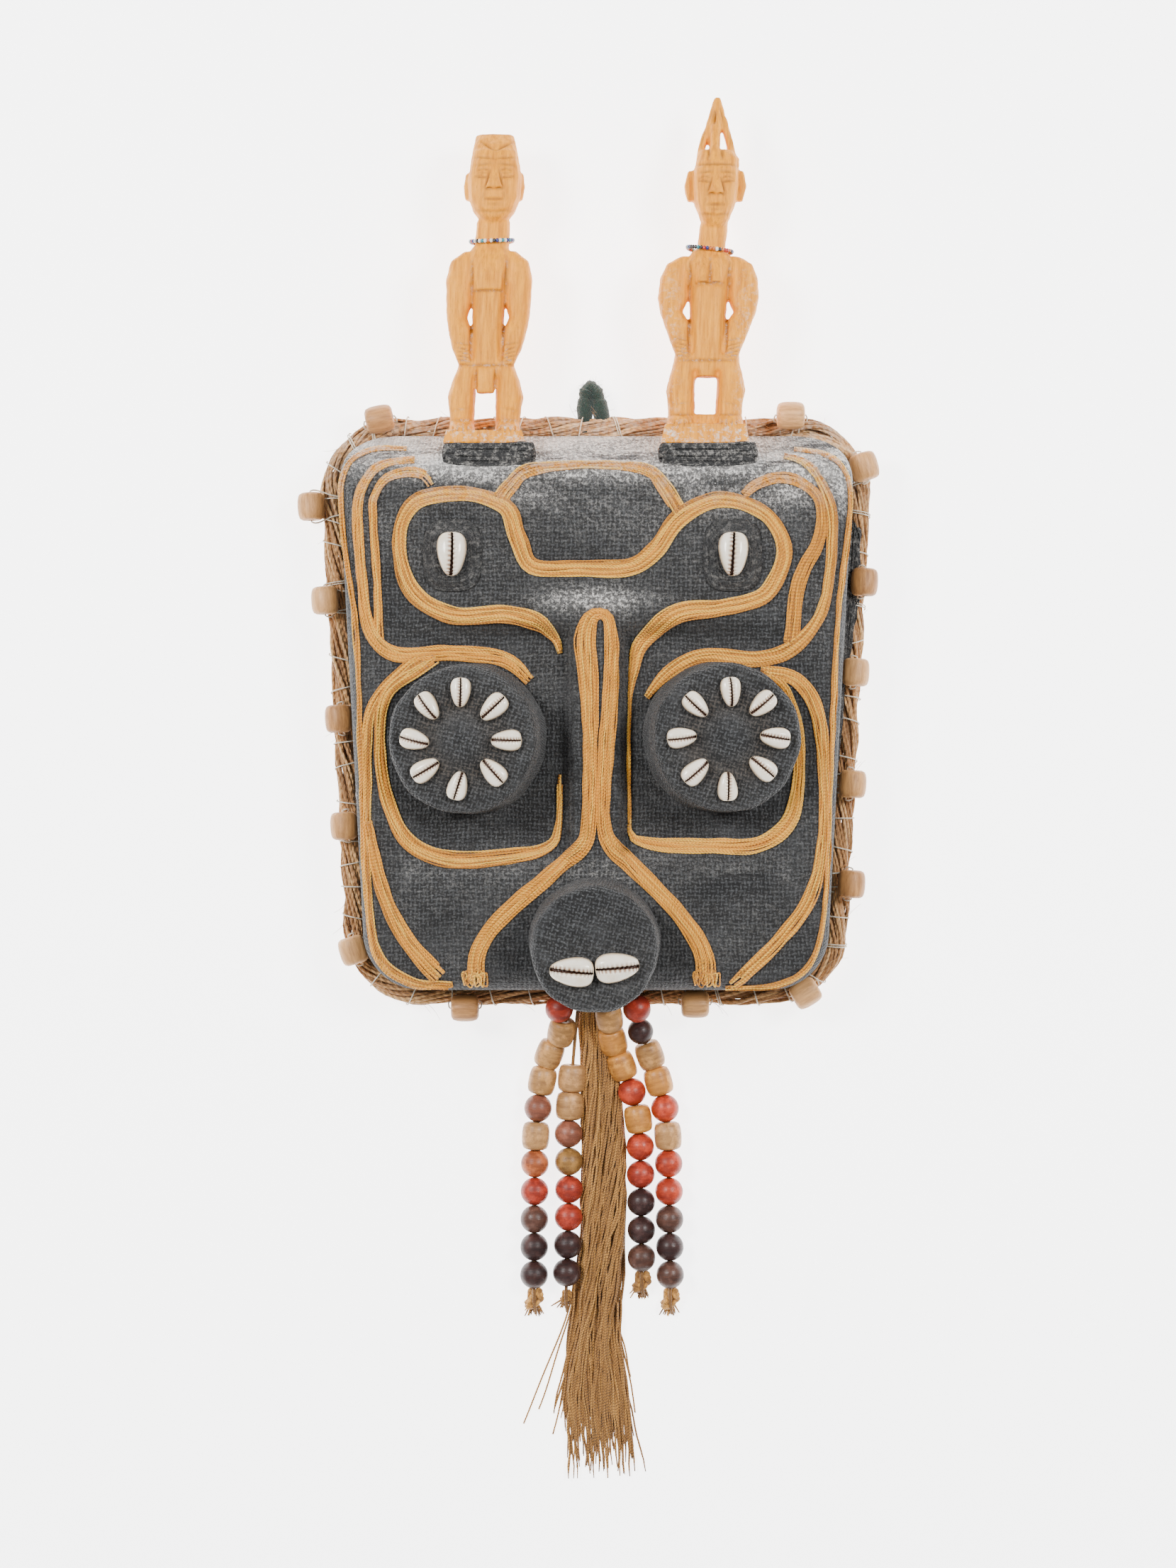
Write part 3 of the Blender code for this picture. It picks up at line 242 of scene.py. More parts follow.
def black_cord_paint():
    """Matt black cord and cloth with a little dust in the windings."""
    p = Paint("black_cord", 0.85)
    fine = p.noise(1100.0, 4.0)
    ply = p.math("SINE", p.attribute("twist"))
    colour = p.mix(p.spread(fine, 0.35, 0.75), (0.008, 0.008, 0.0085), (0.060, 0.060, 0.060))
    grains = p.spread(p.noise(330.0, 5.0, roughness=0.8), 0.50, 0.62)
    dust = p.math("MULTIPLY", grains, p.attribute("dust"))
    colour = p.mix(dust, colour, (0.42, 0.40, 0.37))
    return p.finish(colour, p.math("ADD", p.math("MULTIPLY", ply, 0.5), fine), 0.8, 0.0006)


def cowrie_paint():
    """Glossy ivory shell with warm edges, its slit painted dark brown as the shade inside it, between
    stained teeth.
    """
    p = Paint("cowrie", 0.22)
    slit = p.attribute("slit")
    tooth = p.attribute("tooth")
    warm = p.attribute("warm")
    cloud = p.noise(130.0, 3.0)
    colour = p.mix(p.spread(cloud, 0.35, 0.7), (0.90, 0.84, 0.72), (0.80, 0.70, 0.54))
    colour = p.mix(p.math("MULTIPLY", warm, 0.6), colour, (0.62, 0.40, 0.19))
    colour = p.mix(tooth, colour, (0.27, 0.095, 0.028))
    # The slit is mixed to near black-brown: painted shade inside the shell's opening.
    colour = p.mix(slit, colour, (0.055, 0.018, 0.008))
    rough = p.spread(p.noise(300.0, 3.0), 0.3, 0.7, 0.16, 0.34)
    p.shader.inputs["Subsurface Weight"].default_value = 0.08
    p.shader.inputs["Subsurface Radius"].default_value = (0.004, 0.003, 0.002)
    p.shader.inputs["Coat Weight"].default_value = 0.3
    return p.finish(colour, p.noise(700.0, 2.0), 0.06, 0.0003, rough)


def wood_paint(
    name, light, dark, grain=(70.0, 520.0, 520.0), gloss=0.45, groove_shade=None, dusty=0.0, blotch=0.0
):
    """Wood with grain along one axis, pores and a slow change of tone."""
    p = Paint(name, gloss)
    p.shader.inputs["Specular IOR Level"].default_value = 0.32
    where = p.attribute_vector("grain")
    lines = p.noise(1.0, 5.0, p.stretch(grain, where), 0.6)
    pores = p.noise(1.0, 2.0, p.stretch(tuple(4.5 * g for g in grain), where), 0.5)
    slow = p.noise(55.0, 3.0, where)
    colour = p.mix(p.spread(lines, 0.34, 0.68), dark, light)
    colour = p.mix(
        p.spread(slow, 0.35, 0.7, 0.0, 0.45), colour,
        tuple(0.62 * a + 0.38 * b for a, b in zip(light, dark)),
    )
    colour = p.mix(p.spread(pores, 0.62, 0.75, 0.0, 0.6), colour, tuple(0.5 * c for c in dark))
    if blotch:
        patch = p.spread(p.noise(150.0, 4.0, where, 0.65), 0.50, 0.64, 0.0, blotch)
        colour = p.mix(patch, colour, tuple(min(0.9, 1.7 * c + 0.01) for c in light))
    # Darkens the knife grooves, where the carve attribute is high, with the given tone: painted shade in
    # the cuts.
    if groove_shade:
        colour = p.mix(p.math("MULTIPLY", p.attribute("carve"), 0.62), colour, groove_shade)
    if dusty:
        grain_dust = p.spread(p.noise(330.0, 5.0, roughness=0.8), 0.5, 0.64)
        colour = p.mix(
            p.math("MULTIPLY", p.math("MULTIPLY", p.attribute("dust"), grain_dust), dusty), colour,
            (0.82, 0.76, 0.68),
        )
    rough = p.spread(lines, 0.3, 0.7, gloss + 0.14, gloss - 0.06)
    return p.finish(colour, p.math("ADD", lines, p.math("MULTIPLY", pores, 0.6)), 0.3, 0.0004, rough)


def wool_paint():
    p = Paint("green_wool", 0.95)
    fine = p.noise(1500.0, 4.0)
    colour = p.mix(p.spread(fine, 0.35, 0.7), (0.002, 0.013, 0.010), (0.012, 0.055, 0.040))
    colour = p.mix(p.spread(p.noise(60.0, 3.0), 0.4, 0.7, 0.0, 0.6), colour, (0.003, 0.018, 0.020))
    p.shader.inputs["Sheen Weight"].default_value = 0.3
    return p.finish(colour, fine, 1.0, 0.0012)


def seed_bead_paint():
    """Glass seed beads, each in one of a few colours."""
    p = Paint("seed_beads", 0.25)
    kind = p.attribute("tint")
    colour = p.node("ShaderNodeValToRGB", 0, _0=kind)
    ramp = p.tree.nodes[-1].color_ramp
    ramp.interpolation = "CONSTANT"
    shades = (
        (0.01, 0.02, 0.16), (0.012, 0.011, 0.013), (0.45, 0.02, 0.01), (0.8, 0.77, 0.7),
        (0.02, 0.2, 0.24), (0.55, 0.14, 0.02),
    )
    while len(ramp.elements) < len(shades):
        ramp.elements.new(0.5)
    for i, shade in enumerate(shades):
        ramp.elements[i].position = i / len(shades)
        ramp.elements[i].color = (*shade, 1)
    p.shader.inputs["Coat Weight"].default_value = 0.5
    return p.finish(colour, p.noise(900.0, 2.0), 0.1, 0.0002)


def white_thread_paint():
    p = Paint("white_thread", 0.7)
    fine = p.noise(1500.0, 3.0)
    colour = p.mix(p.spread(fine, 0.35, 0.7), (0.80, 0.74, 0.62), (0.52, 0.44, 0.32))
    return p.finish(colour, fine, 0.6, 0.0003)


def smooth(a, b, x):
    t = np.clip((np.asarray(x, float) - a) / (b - a), 0, 1)
    return t * t * (3 - 2 * t)


def half_width(y):
    return (LOW_WIDTH + (TOP_WIDTH - LOW_WIDTH) * (0.5 + y / HEIGHT)) / 2


def inset(x, y):
    """How far points lie inside the shell's outline."""
    dx = np.abs(x) - half_width(y) + CORNER
    dy = np.abs(y) - HEIGHT / 2 + CORNER
    return CORNER - np.hypot(np.maximum(dx, 0), np.maximum(dy, 0)) - np.minimum(np.maximum(dx, dy), 0)


def shell_height(x, y):
    """The frame's own face: dome, sockets and nose."""
    x, y = np.asarray(x, float), np.asarray(y, float)
    d = np.clip(inset(x, y), 0, SIDE_ROUND)
    side = DEPTH - SIDE_ROUND + np.sqrt(SIDE_ROUND**2 - (SIDE_ROUND - d) ** 2)
    bevel = BACK_DEPTH + (DEPTH + 0.002 - BACK_DEPTH) * (HEIGHT / 2 - y) / BEVEL_RUN
    front = side + BULGE * np.exp(-((x / 0.09) ** 2) - ((y - 0.095) / 0.05) ** 2)
    h = np.maximum(0.006 - np.abs(front - bevel), 0) / 0.006
    dome = np.minimum(front, bevel) - h * h * 0.0015
    down = smooth(
        SOCKET_BOTTOM - 0.012, SOCKET_BOTTOM + 0.012, y
    ) * (1 - smooth(SOCKET_TOP - 0.012, SOCKET_TOP, y))
    area = down * (1 - smooth(0.045, 0.118, np.abs(x)))
    nose = smooth(NOSE_HALF - NOSE_SLOPE / 2, NOSE_HALF + NOSE_SLOPE / 2, np.abs(x))
    return dome - SOCKET * area * nose


def surface(x, y):
    """The cloth's own height: the shell with small slack waves and folds."""
    x, y = np.asarray(x, float), np.asarray(y, float)
    wave = 0.00035 * np.sin(x * 210 + 1.4 * np.sin(y * 90)) * np.sin(y * 170 + 0.7 * np.sin(x * 120))
    wave += 0.0002 * np.sin(x * 480 + y * 130) * np.cos(y * 390)
    fold = 0.0022 * np.exp(
        -(((x - 0.5 * y - 0.052) / 0.0022) ** 2)
    ) * smooth(0.118, 0.13, y) * smooth(0.152, 0.14, y)
    inner = smooth(0.001, 0.006, inset(x, y))
    return shell_height(x, y) + (wave + fold) * inner


def surface_normal(x, y):
    step = 0.0008
    dx = (surface(x + step, y) - surface(x - step, y)) / (2 * step)
    dy = (surface(x, y + step) - surface(x, y - step)) / (2 * step)
    normal = np.stack([-dx, -dy, np.ones_like(dx)], axis=-1)
    return normal / np.linalg.norm(normal, axis=-1, keepdims=True)


def link(name, data):
    """Puts an object with these data into the scene."""
    obj = bpy.data.objects.new(name, data)
    bpy.context.scene.collection.objects.link(obj)
    return obj


def stack(x, y, z):
    """Points from their places on the three axes."""
    return np.stack(np.broadcast_arrays(x, y, z), axis=-1)


def moved(points, matrix):
    m = np.array(matrix)
    return points @ m[:3, :3].T + m[:3, 3]


def squarish(angle, power):
    """A circle's cosines and sines, drawn out towards the corners of a square."""
    c, s = np.cos(angle), np.sin(angle)
    return np.sign(c) * np.abs(c) ** power, np.sign(s) * np.abs(s) ** power


def lengths_along(path):
    steps = np.linalg.norm(np.diff(path, axis=0), axis=1)
    return np.concatenate([[0], np.cumsum(steps)])


def on_cloth(x, y, lift):
    """Points a little off the cloth, each by its own lift."""
    return stack(x, y, surface(x, y)) + surface_normal(x, y) * lift[:, None]


def make_object(name, points, faces, paint, attributes=(), nodes=()):
    """A mesh piece in the row frame; points are measured from the shell's middle."""
    mesh = bpy.data.meshes.new(name)
    points = np.asarray(points, np.float64) + np.array(ORIGIN)
    mesh.from_pydata(points.tolist(), [], [list(map(int, f)) for f in faces])
    mesh.update()
    for key, values in dict(attributes).items():
        values = np.asarray(values, np.float32)
        kind = "FLOAT" if values.ndim == 1 else "FLOAT_VECTOR"
        field = "value" if kind == "FLOAT" else "vector"
        mesh.attributes.new(key, kind, "POINT").data.foreach_set(field, values.ravel())
    mesh.shade_smooth()
    obj = link(name, mesh)
    mesh.materials.append(paint)
    settle(obj, nodes)
    return obj


def settle(obj, nodes):
    """Every piece rides on the one body and hides the frame parts it stands for."""
    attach(obj, "root")
    if nodes:
        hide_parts(*nodes)


def grid_faces(rows, columns, closed=False):
    """Quads over a grid of points; closed joins the last column to the first."""
    across = columns if closed else columns - 1
    r, c = np.meshgrid(np.arange(rows - 1), np.arange(across), indexing="ij")
    n = (c + 1) % columns
    faces = np.stack(
        [r * columns + c, r * columns + n, (r + 1) * columns + n, (r + 1) * columns + c], axis=-1
    )
    return faces.reshape(-1, 4)


class Tubes:
    """Many thin tubes gathered in one mesh, each strand with a tint."""

    def __init__(self, sides=6):
        self.sides, self.count = sides, 0
        self.points, self.faces, self.tint, self.twist = [], [], [], []

    def add(self, path, radius, tint=0.5, ply=0.0022, up=(0, 0, 1)):
        path = np.asarray(path, float)
        n, s = len(path), self.sides
        radius = np.broadcast_to(np.asarray(radius, float), (n,))
        along = np.gradient(path, axis=0)
        along /= np.linalg.norm(along, axis=1, keepdims=True) + 1e-12
        side = np.cross(along, np.asarray(up, float))
        size = np.linalg.norm(side, axis=1, keepdims=True)
        side = np.where(size > 0.15, side / (size + 1e-12), np.array([1.0, 0, 0]))
        rise = np.cross(side, along)
        angle = 2 * np.pi * np.arange(s) / s - np.pi / 2
        ring = (
            side[:, None] * np.cos(angle)[None, :, None] + rise[:, None] * np.sin(angle)[None, :, None]
        )
        points = path[:, None] + ring * radius[:, None, None]
        turn = 2 * np.pi * (lengths_along(path)[:, None] / ply + np.arange(s)[None] / s)
        self.points.append(points.reshape(-1, 3))
        self.faces += (grid_faces(n, s, closed=True) + self.count).tolist()
        self.faces.append([self.count + k for k in reversed(range(s))])
        self.faces.append([self.count + (n - 1) * s + k for k in range(s)])
        self.tint.append(np.full(n * s, tint))
        self.twist.append(turn.ravel())
        self.count += n * s

    def solid(self, points, faces):
        """Adds a plain body that fills the windings."""
        self.faces += (np.array(faces) + self.count).tolist()
        self.points.append(points)
        self.tint.append(np.zeros(len(points)))
        self.twist.append(np.zeros(len(points)))
        self.count += len(points)

    def build(self, name, paint, nodes=(), slot=None, dust=None):
        points = np.concatenate(self.points)
        faces = [f[::-1] for f in self.faces]
        attributes = {"tint": np.concatenate(self.tint), "twist": np.concatenate(self.twist)}
        if dust is not None:
            attributes["dust"] = np.full(len(points), dust)
        return make_object(name, points, faces, paint, attributes, nodes)


def spline(points, step):
    """Points a step apart on a smooth curve through the given ones."""
    points = np.asarray(points, float)
    ends = np.concatenate([points[:1], points, points[-1:]])
    out = []
    for a, b, c, d in zip(ends, ends[1:], ends[2:], ends[3:]):
        parts = max(1, round(np.linalg.norm((c - b)[:2]) / step))
        for t in np.arange(parts) / parts:
            square, cube = 2 * a - 5 * b + 4 * c - d, 3 * b - a - 3 * c + d
            out.append(0.5 * (2 * b + (c - a) * t + square * t**2 + cube * t**3))
    return np.array([*out, points[-1]])


def cloth_places(points, front=DEPTH):
    """Where points lie on the flat cloth: what falls down a side is unrolled outwards."""
    x, y, z = points.T
    drop = np.clip(front - 0.004 - z, 0, None) * (inset(x, y) < 0.012)
    away = np.stack([x / half_width(y), y / (HEIGHT / 2)], axis=1) ** 5
    away /= np.linalg.norm(away, axis=1, keepdims=True) + 1e-9
    return stack(x + away[:, 0] * drop, y + away[:, 1] * drop, 0 * x)


def face_dust(points):
    """How dusty the cloth is: heavy along the top slope and the upper right, light lower down."""
    x, y, _ = points.T
    corner = smooth(-0.095, -0.110, x) * (1 - smooth(0.139, 0.147, y))
    top = 1.75 * smooth(0.119, 0.141, y) * (1 - 0.85 * corner)
    right = 0.85 * smooth(0.098, 0.135, y) * smooth(0.02, 0.10, x)
    brow = 0.05 * smooth(0.06, 0.12, y) + 0.16 * np.exp(
        -(((x + 0.034) / 0.016) ** 2) - ((y - 0.1165) / 0.008) ** 2
    )
    nose = 0.42 * np.exp(-((x / 0.026) ** 2) - ((y - 0.0585) / 0.006) ** 2)
    ledge = 0.06 * np.exp(-(((y + 0.086) / 0.007) ** 2)) * (np.abs(x) < 0.105)
    return np.clip(top + right + brow + nose + ledge + 0.03, 0, 2.0)


def rounded_half(y, shrink=0.0):
    """Half the outline's width at each height, with its corners."""
    corner = CORNER - shrink
    into = np.clip(HEIGHT / 2 - shrink - np.abs(y), 0, corner)
    return half_width(y) - shrink - corner + np.sqrt(corner**2 - (corner - into) ** 2)


def shell_piece(paint):
    """The cloth-covered shell: a fine front, its side walls, the wall's rim and the hollow behind."""
    rows, columns = 172, 165
    t = np.linspace(0, 1, rows)
    ease = 0.5 - 0.5 * np.cos(np.pi * t)
    ys = (-0.5 + 0.75 * t + 0.25 * ease) * HEIGHT
    u = np.linspace(-1, 1, columns)
    u = np.sign(u) * (0.62 * np.abs(u) + 0.38 * np.sin(np.abs(u) * np.pi / 2))
    x = u[None] * rounded_half(ys)[:, None]
    y = np.repeat(ys[:, None], columns, axis=1)
    front = stack(x, y, surface(x, y)).reshape(-1, 3)
    faces = grid_faces(rows, columns).tolist()
    points = [front]
    border = list(range(columns)) + [r * columns + columns - 1 for r in range(1, rows)]
    border += [(rows - 1) * columns + c for c in reversed(range(columns - 1))]
    border += [r * columns for r in reversed(range(1, rows - 1))]
    edge = front[border]
    n, last, count = len(border), border, len(front)

    def join(ring):
        """Adds a ring of points and joins it to the one before."""
        nonlocal last, count
        points.append(ring)
        ids = list(range(count, count + n))
        faces.extend([last[i], ids[i], ids[(i + 1) % n], last[(i + 1) % n]] for i in range(n))
        last, count = ids, count + n

    way = edge[:, :2] / np.linalg.norm(edge[:, :2], axis=1, keepdims=True)
    for share in (0.75, 0.5, 0.25, 0.08, 0.0):
        ring = edge.copy()
        ring[:, 2] *= share
        puff = 0.0009 * np.sin(np.pi * share) * np.sin(np.arange(n) * 0.21 + 1.7 * share)
        ring[:, :2] += way * puff[:, None]
        join(ring)
    inner_rim = edge.copy()
    inner_rim[:, 0] *= 1 - WALL / half_width(edge[:, 1])
    inner_rim[:, 1] *= 1 - 2 * WALL / HEIGHT
    hollow = shell_height(inner_rim[:, 0], inner_rim[:, 1]) - 0.008
    for share in (0.0, 0.5, 1.0):
        ring = inner_rim.copy()
        ring[:, 2] = hollow * share
        join(ring)
    for shrink in (0.9, 0.75, 0.55, 0.3):
        ring = inner_rim.copy()
        ring[:, :2] *= shrink
        ring[:, 2] = np.minimum(shell_height(ring[:, 0], ring[:, 1]) - WALL, DEPTH - WALL - SOCKET)
        join(ring)
    points.append(np.array([[0, 0, DEPTH - WALL - SOCKET]]))
    faces += [[last[i], count, last[(i + 1) % n]] for i in range(n)]
    points = np.concatenate(points)
    brown = np.zeros(len(points))
    attributes = {"cloth": cloth_places(points), "dust": face_dust(points), "brown": brown}
    make_object("burlap_shell", points, faces, paint, attributes, ["mask_shell"])


def drum_frame(spec, sign=1):
    x, y = sign * spec["x"], spec["y"]
    area = 0.0
    if spec is EYE:
        area = float(1 - smooth(0.045, 0.118, abs(x)))
        if sign < 0:
            x, y = x + LEFT_DRUM_SHIFT[0], y + LEFT_DRUM_SHIFT[1]
    place = Matrix.Translation((x, y, DEPTH - SOCKET * area))
    return place @ Matrix.Rotation(sign * spec["tilt"], 4, "Y")


def drum_piece(name, spec, sign, paint):
    """A cloth-covered drum: stretched face, rolled rim, tight side and a skirt glued to the shell."""
    radius, height, boss = spec["radius"], spec["height"], spec is EYE
    profile = [(r, height) for r in np.linspace(0.0005, radius - ROLL, 34)]
    for a in np.radians(np.linspace(10, 90, 7)):
        profile.append((radius + ROLL * (math.sin(a) - 1), height + ROLL * (math.cos(a) - 1)))
    flare = 0.0014 if boss else 0.0030
    for k, z in enumerate(np.linspace(height - 0.006, 0.003, 12)):
        profile.append((radius - 0.0004 * math.sin(k), z))
    foot = -0.009 if boss else -0.016
    profile += [(radius + 0.0008, 0.001), (radius + 0.0012, -0.003), (radius, foot)]
    sides = DRUM_SIDES
    angle = 2 * np.pi * np.arange(sides) / sides
    r = np.array([p[0] for p in profile])[:, None]
    z = np.array([p[1] for p in profile])[:, None] + 0 * angle
    face = (z > height - 0.0036) & (r < radius)
    if boss:
        z = z + BOSS_HEIGHT * (1 - smooth(BOSS_RADIUS - 0.0015, BOSS_RADIUS + 0.002, r)) * face
        z = z - 0.0006 * np.exp(-(((r - 0.0155) / 0.0025) ** 2)) * face
    wobble = 0.0003 * np.sin(5 * angle + 0.5) + 0.00025 * np.sin(11 * angle + z * 300)
    z = z + face * 0.00025 * np.sin(r * 700 + 3 * np.sin(2 * angle))
    sag = flare * np.clip(1 - z / height, 0, 1) ** 1.3 * (0.35 + 0.65 * np.sin(angle))
    r = r + wobble * (r > radius - 0.004) + sag * (r > radius - 0.001)
    local = stack(r * np.cos(angle), r * np.sin(angle), z).reshape(-1, 3)
    points = moved(local, drum_frame(spec, sign))
    faces = [f[::-1] for f in grid_faces(len(profile), sides, closed=True).tolist()]
    faces.append(list(range(sides)))
    faces.append([(len(profile) - 1) * sides + k for k in reversed(range(sides))])
    lr = np.hypot(local[:, 0], local[:, 1])
    away = local[:, :2] / (lr[:, None] + 1e-9)
    flat = local[:, :2] + away * np.clip(height - local[:, 2], 0, None)[:, None]
    flat = flat @ np.array([[0.96, 0.28], [-0.28, 0.96]]) + 0.31 * sign
    cloth = stack(flat[:, 0], flat[:, 1], 0 * lr)
    ring = np.exp(-(((lr - 0.019) / 0.007) ** 2)) * (local[:, 2] > height - 0.003) if boss else 0 * lr
    attributes = {"cloth": cloth, "dust": 0.02 + 0.03 * (local[:, 2] < height - 0.004), "brown": ring}
    make_object(f"{name}_cloth", points, faces, paint, attributes, [name])


def cowrie_mesh(length, width, height, seed):
    """Points, faces and attributes of one cowrie, slit up, its wide end at -X."""
    along, top, under = (84, 45, 7) if length > 0.02 else (62, 35, 5)
    t = np.linspace(0.004, 0.996, along)[:, None]
    x = -np.cos(np.pi * t) / 2
    half = np.sin(np.pi * t) ** 0.66 * (1 - 0.50 * (x + 0.10)) * 0.5 * 0.985
    a = np.linspace(-1, 1, top)[None]
    side = np.sign(a) * np.abs(a) ** 1.5
    y_top = side * half
    z_top = 0.34 + 0.66 * np.sqrt(np.clip(1 - side**2, 0, 1)) ** 0.85 * np.sin(np.pi * t) ** 0.45
    b = np.linspace(1, -1, under + 2)[None, 1:-1]
    y_low = b * half
    z_low = 0.34 - 0.34 * np.sqrt(np.clip(1 - b**2, 0, 1)) ** 0.4 + 0 * t
    bend = 0.045 * np.sin(np.pi * (t + 0.15 * seed)) - 0.02
    off = y_top - bend
    ends = smooth(0.03, 0.12, t) * smooth(0.985, 0.9, t)
    teeth = 0.5 + 0.5 * np.sin(2 * np.pi * 14 * t + 1.4 * np.sign(off))
    wide = 0.030 + 0.034 * t**2
    gap = np.clip(np.abs(off) - 0.015 * teeth * (0.6 + 0.8 * t), 0, None)
    groove = np.exp(-((gap / wide) ** 2)) * ends
    zone = np.exp(-(((np.abs(off) - wide - 0.050) / 0.065) ** 2)) * ends
    zone *= np.where(off > 0, 0.55, 1.0)
    z_top = z_top - 0.46 * groove - 0.11 * zone * teeth - 0.06 * np.exp(-((off / 0.14) ** 2)) * ends
    y = np.concatenate([y_top, y_low], axis=1)
    z = np.concatenate([z_top, z_low], axis=1)
    columns = y.shape[1]
    points = stack(x * length, y * width, z * height).reshape(-1, 3)
    empty = np.zeros((along, columns))
    slit, tooth, warm = empty.copy(), empty.copy(), empty.copy()
    slit[:, :top] = smooth(0.28, 0.60, groove)
    tooth[:, :top] = zone * teeth * 0.9
    lips = smooth(0.86, 1.0, t) + smooth(0.1, 0.0, t)
    warm[:, :top] = np.clip(smooth(0.75, 1.0, np.abs(side)) + lips, 0, 1)
    warm[:, top:] = 1
    faces = grid_faces(along, columns, closed=True).tolist()
    faces.append(list(range(columns))[::-1])
    faces.append([(along - 1) * columns + k for k in range(columns)])
    return points, faces, {"slit": slit.ravel(), "tooth": tooth.ravel(), "warm": warm.ravel()}


def cowrie_piece(node, size, matrix, paint, seed):
    points, faces, attributes = cowrie_mesh(*size, seed)
    make_object(f"{node}_shell", moved(points, matrix), faces, paint, attributes, [node])


def eye_cowries(side, sign, paint):
    frame_ = drum_frame(EYE, sign)
    for i in range(8):
        turn = math.radians(90) - 2 * math.pi * i / 8 + rng.normal(0, 0.045)
        ring = COWRIE_RING + rng.normal(0, 0.0005)
        out = Matrix.Rotation(turn, 4, "Z") @ Matrix.Translation((ring, 0, EYE["height"] + GAP))
        lean = Matrix.Rotation(math.pi + rng.normal(0, 0.10), 4, "Z")
        grow = 1 + rng.normal(0, 0.03)
        size = tuple(grow * s for s in EYE_COWRIE)
        cowrie_piece(f"eye_cowrie_{side}_{i + 1}", size, frame_ @ out @ lean, paint, i)


def mouth_cowries(paint):
    frame_ = drum_frame(MOUTH)
    middle = Matrix.Translation((0, -0.010, MOUTH["height"] + GAP))
    apart = MOUTH_COWRIE[0] / 2 + 0.0004
    for side, sign, turn in (("left", -1, math.pi + math.radians(-3)), ("right", 1, math.radians(8))):
        place = Matrix.Translation((sign * apart, 0.0012 * sign, 0)) @ Matrix.Rotation(turn, 4, "Z")
        cowrie_piece(f"mouth_cowrie_{side}", MOUTH_COWRIE, frame_ @ middle @ place, paint, 3 + sign)


def small_eye(side, sign, cord, shell_white):
    """A cowrie on a dome of wound black cord."""
    x, y = sign * SMALL_EYE[0] - SMALL_EYE_SHIFT[side], SMALL_EYE[1]
    base = float(shell_height(x, y))
    width, length, height = PAD
    turns, per = 8, 44
    k = np.arange(turns * per + 1) / per
    share = k / turns
    grow = 1 - 0.62 * share**1.15
    c, s = squarish(2 * np.pi * k, 0.62)
    px = x + (width / 2 - 0.0012) * grow * c
    py = y + (length / 2 - 0.0012) * grow * s
    lift = height * np.clip(0.22 + 1.15 * share, 0, 1) ** 0.8 - 0.0012
    pz = np.maximum(base + lift, surface(px, py) + 0.0008) + 0.00025 * np.sin(2 * np.pi * k * 3.3)
    tubes = Tubes(8)
    tubes.add(stack(px, py, pz), 0.00086)
    c, s = squarish(np.linspace(0, 2 * np.pi, 60), 0.62)
    for lift, scale in ((0.0006, 0.987), (0.00124, 0.945)):
        px, py = x + (width / 2 - 0.0002) * scale * c, y + (length / 2 - 0.0002) * scale * s
        tubes.add(stack(px, py, surface(px, py) + lift), 0.0013, 0.4)
    c, s = squarish(np.linspace(0, 2 * np.pi, 40, endpoint=False), 0.62)
    top = 0.86 * height
    core = ((0.95, -0.003), (0.93, 0.35 * height), (0.62, 0.78 * height), (0.3, top), (0.02, top))
    rings = [stack(x + width / 2 * grow * c, y + length / 2 * grow * s, base + up) for grow, up in core]
    tubes.solid(np.concatenate(rings), grid_faces(len(core), 40, closed=True))
    tubes.build(f"small_eye_winding_{side}", cord, [f"small_eye_pad_{side}"], "black_cord", 0.22)
    place = Matrix.Translation((x, y, base + height + GAP)) @ Matrix.Rotation(-math.pi / 2, 4, "Z")
    cowrie_piece(f"small_eye_cowrie_{side}", SMALL_EYE_COWRIE, place, shell_white, 2 + sign)


# The thread bands, as in the frame, in mm: x, y and width.
BROW = (
    (-19.3, 31, 1.4), (-21, 36.5, 3.5), (-25, 42.5, 6), (-32, 48, 8), (-50, 52, 9), (-78, 51, 9),
    (-99, 64, 9), (-106, 90, 7.5), (-98, 111, 8), (-72, 116, 8), (-49, 109, 9), (-42, 92, 9),
    (-34, 77, 9), (-10, 75.8, 9), (18, 76.5, 9), (32, 86, 10), (45, 103, 10), (67, 113, 8),
    (91, 105, 8), (101, 85, 8), (91, 62, 9), (67, 55, 9), (44, 52, 10), (25, 37, 9), (20, 21, 5),
    (18, 4, 2), (17.5, -30, 1.2), (18, -62, 1.2),
)
ARCH = (
    (-52, 112, 8), (-46, 120, 8), (-36, 128.5, 6), (-6, 131, 4), (26, 129, 5), (36, 120, 8),
    (45, 106, 8),
)
TEMPLE_LEFT = (
    (-98, 134.5, 3), (-113.3, 132.5, 4), (-121.3, 127.6, 5), (-126.9, 116.5, 5), (-128.3, 104.5, 5),
    (-126.5, 75, 5), (-122, 44, 7), (-108, 30, 8), (-79, 30.5, 8.5), (-50, 28, 8.5), (-36, 16, 6),
)
TEMPLE_LEFT_INNER = (
    (-88.2, 121, 4), (-92.3, 126.2, 5), (-101.3, 127.6, 5), (-112.3, 124.6, 4.5), (-118.3, 116.5, 4),
    (-120.3, 104.5, 4), (-117.5, 64, 4.5), (-117, 38, 5),
)
CHEEK_LEFT = (
    (-86.5, 27.8, 5), (-95, 22.5, 6), (-113, 8, 6.5), (-116.5, -18, 6), (-113, -47, 7),
    (-101, -71, 8.5), (-78, -81, 9), (-47, -79.5, 8.5), (-26, -74.5, 6), (-20.5, -62, 3),
    (-19.5, -35, 1.4),
)
CHEEK_LEFT_OUTER = (
    (-94.5, 28, 5), (-104, 21, 6), (-121, 0, 6), (-123.5, -40, 5), (-122.5, -95, 4), (-118, -131, 5),
    (-100, -146.5, 5.5), (-85, -148, 5), (-77.5, -147.8, 2.8),
)
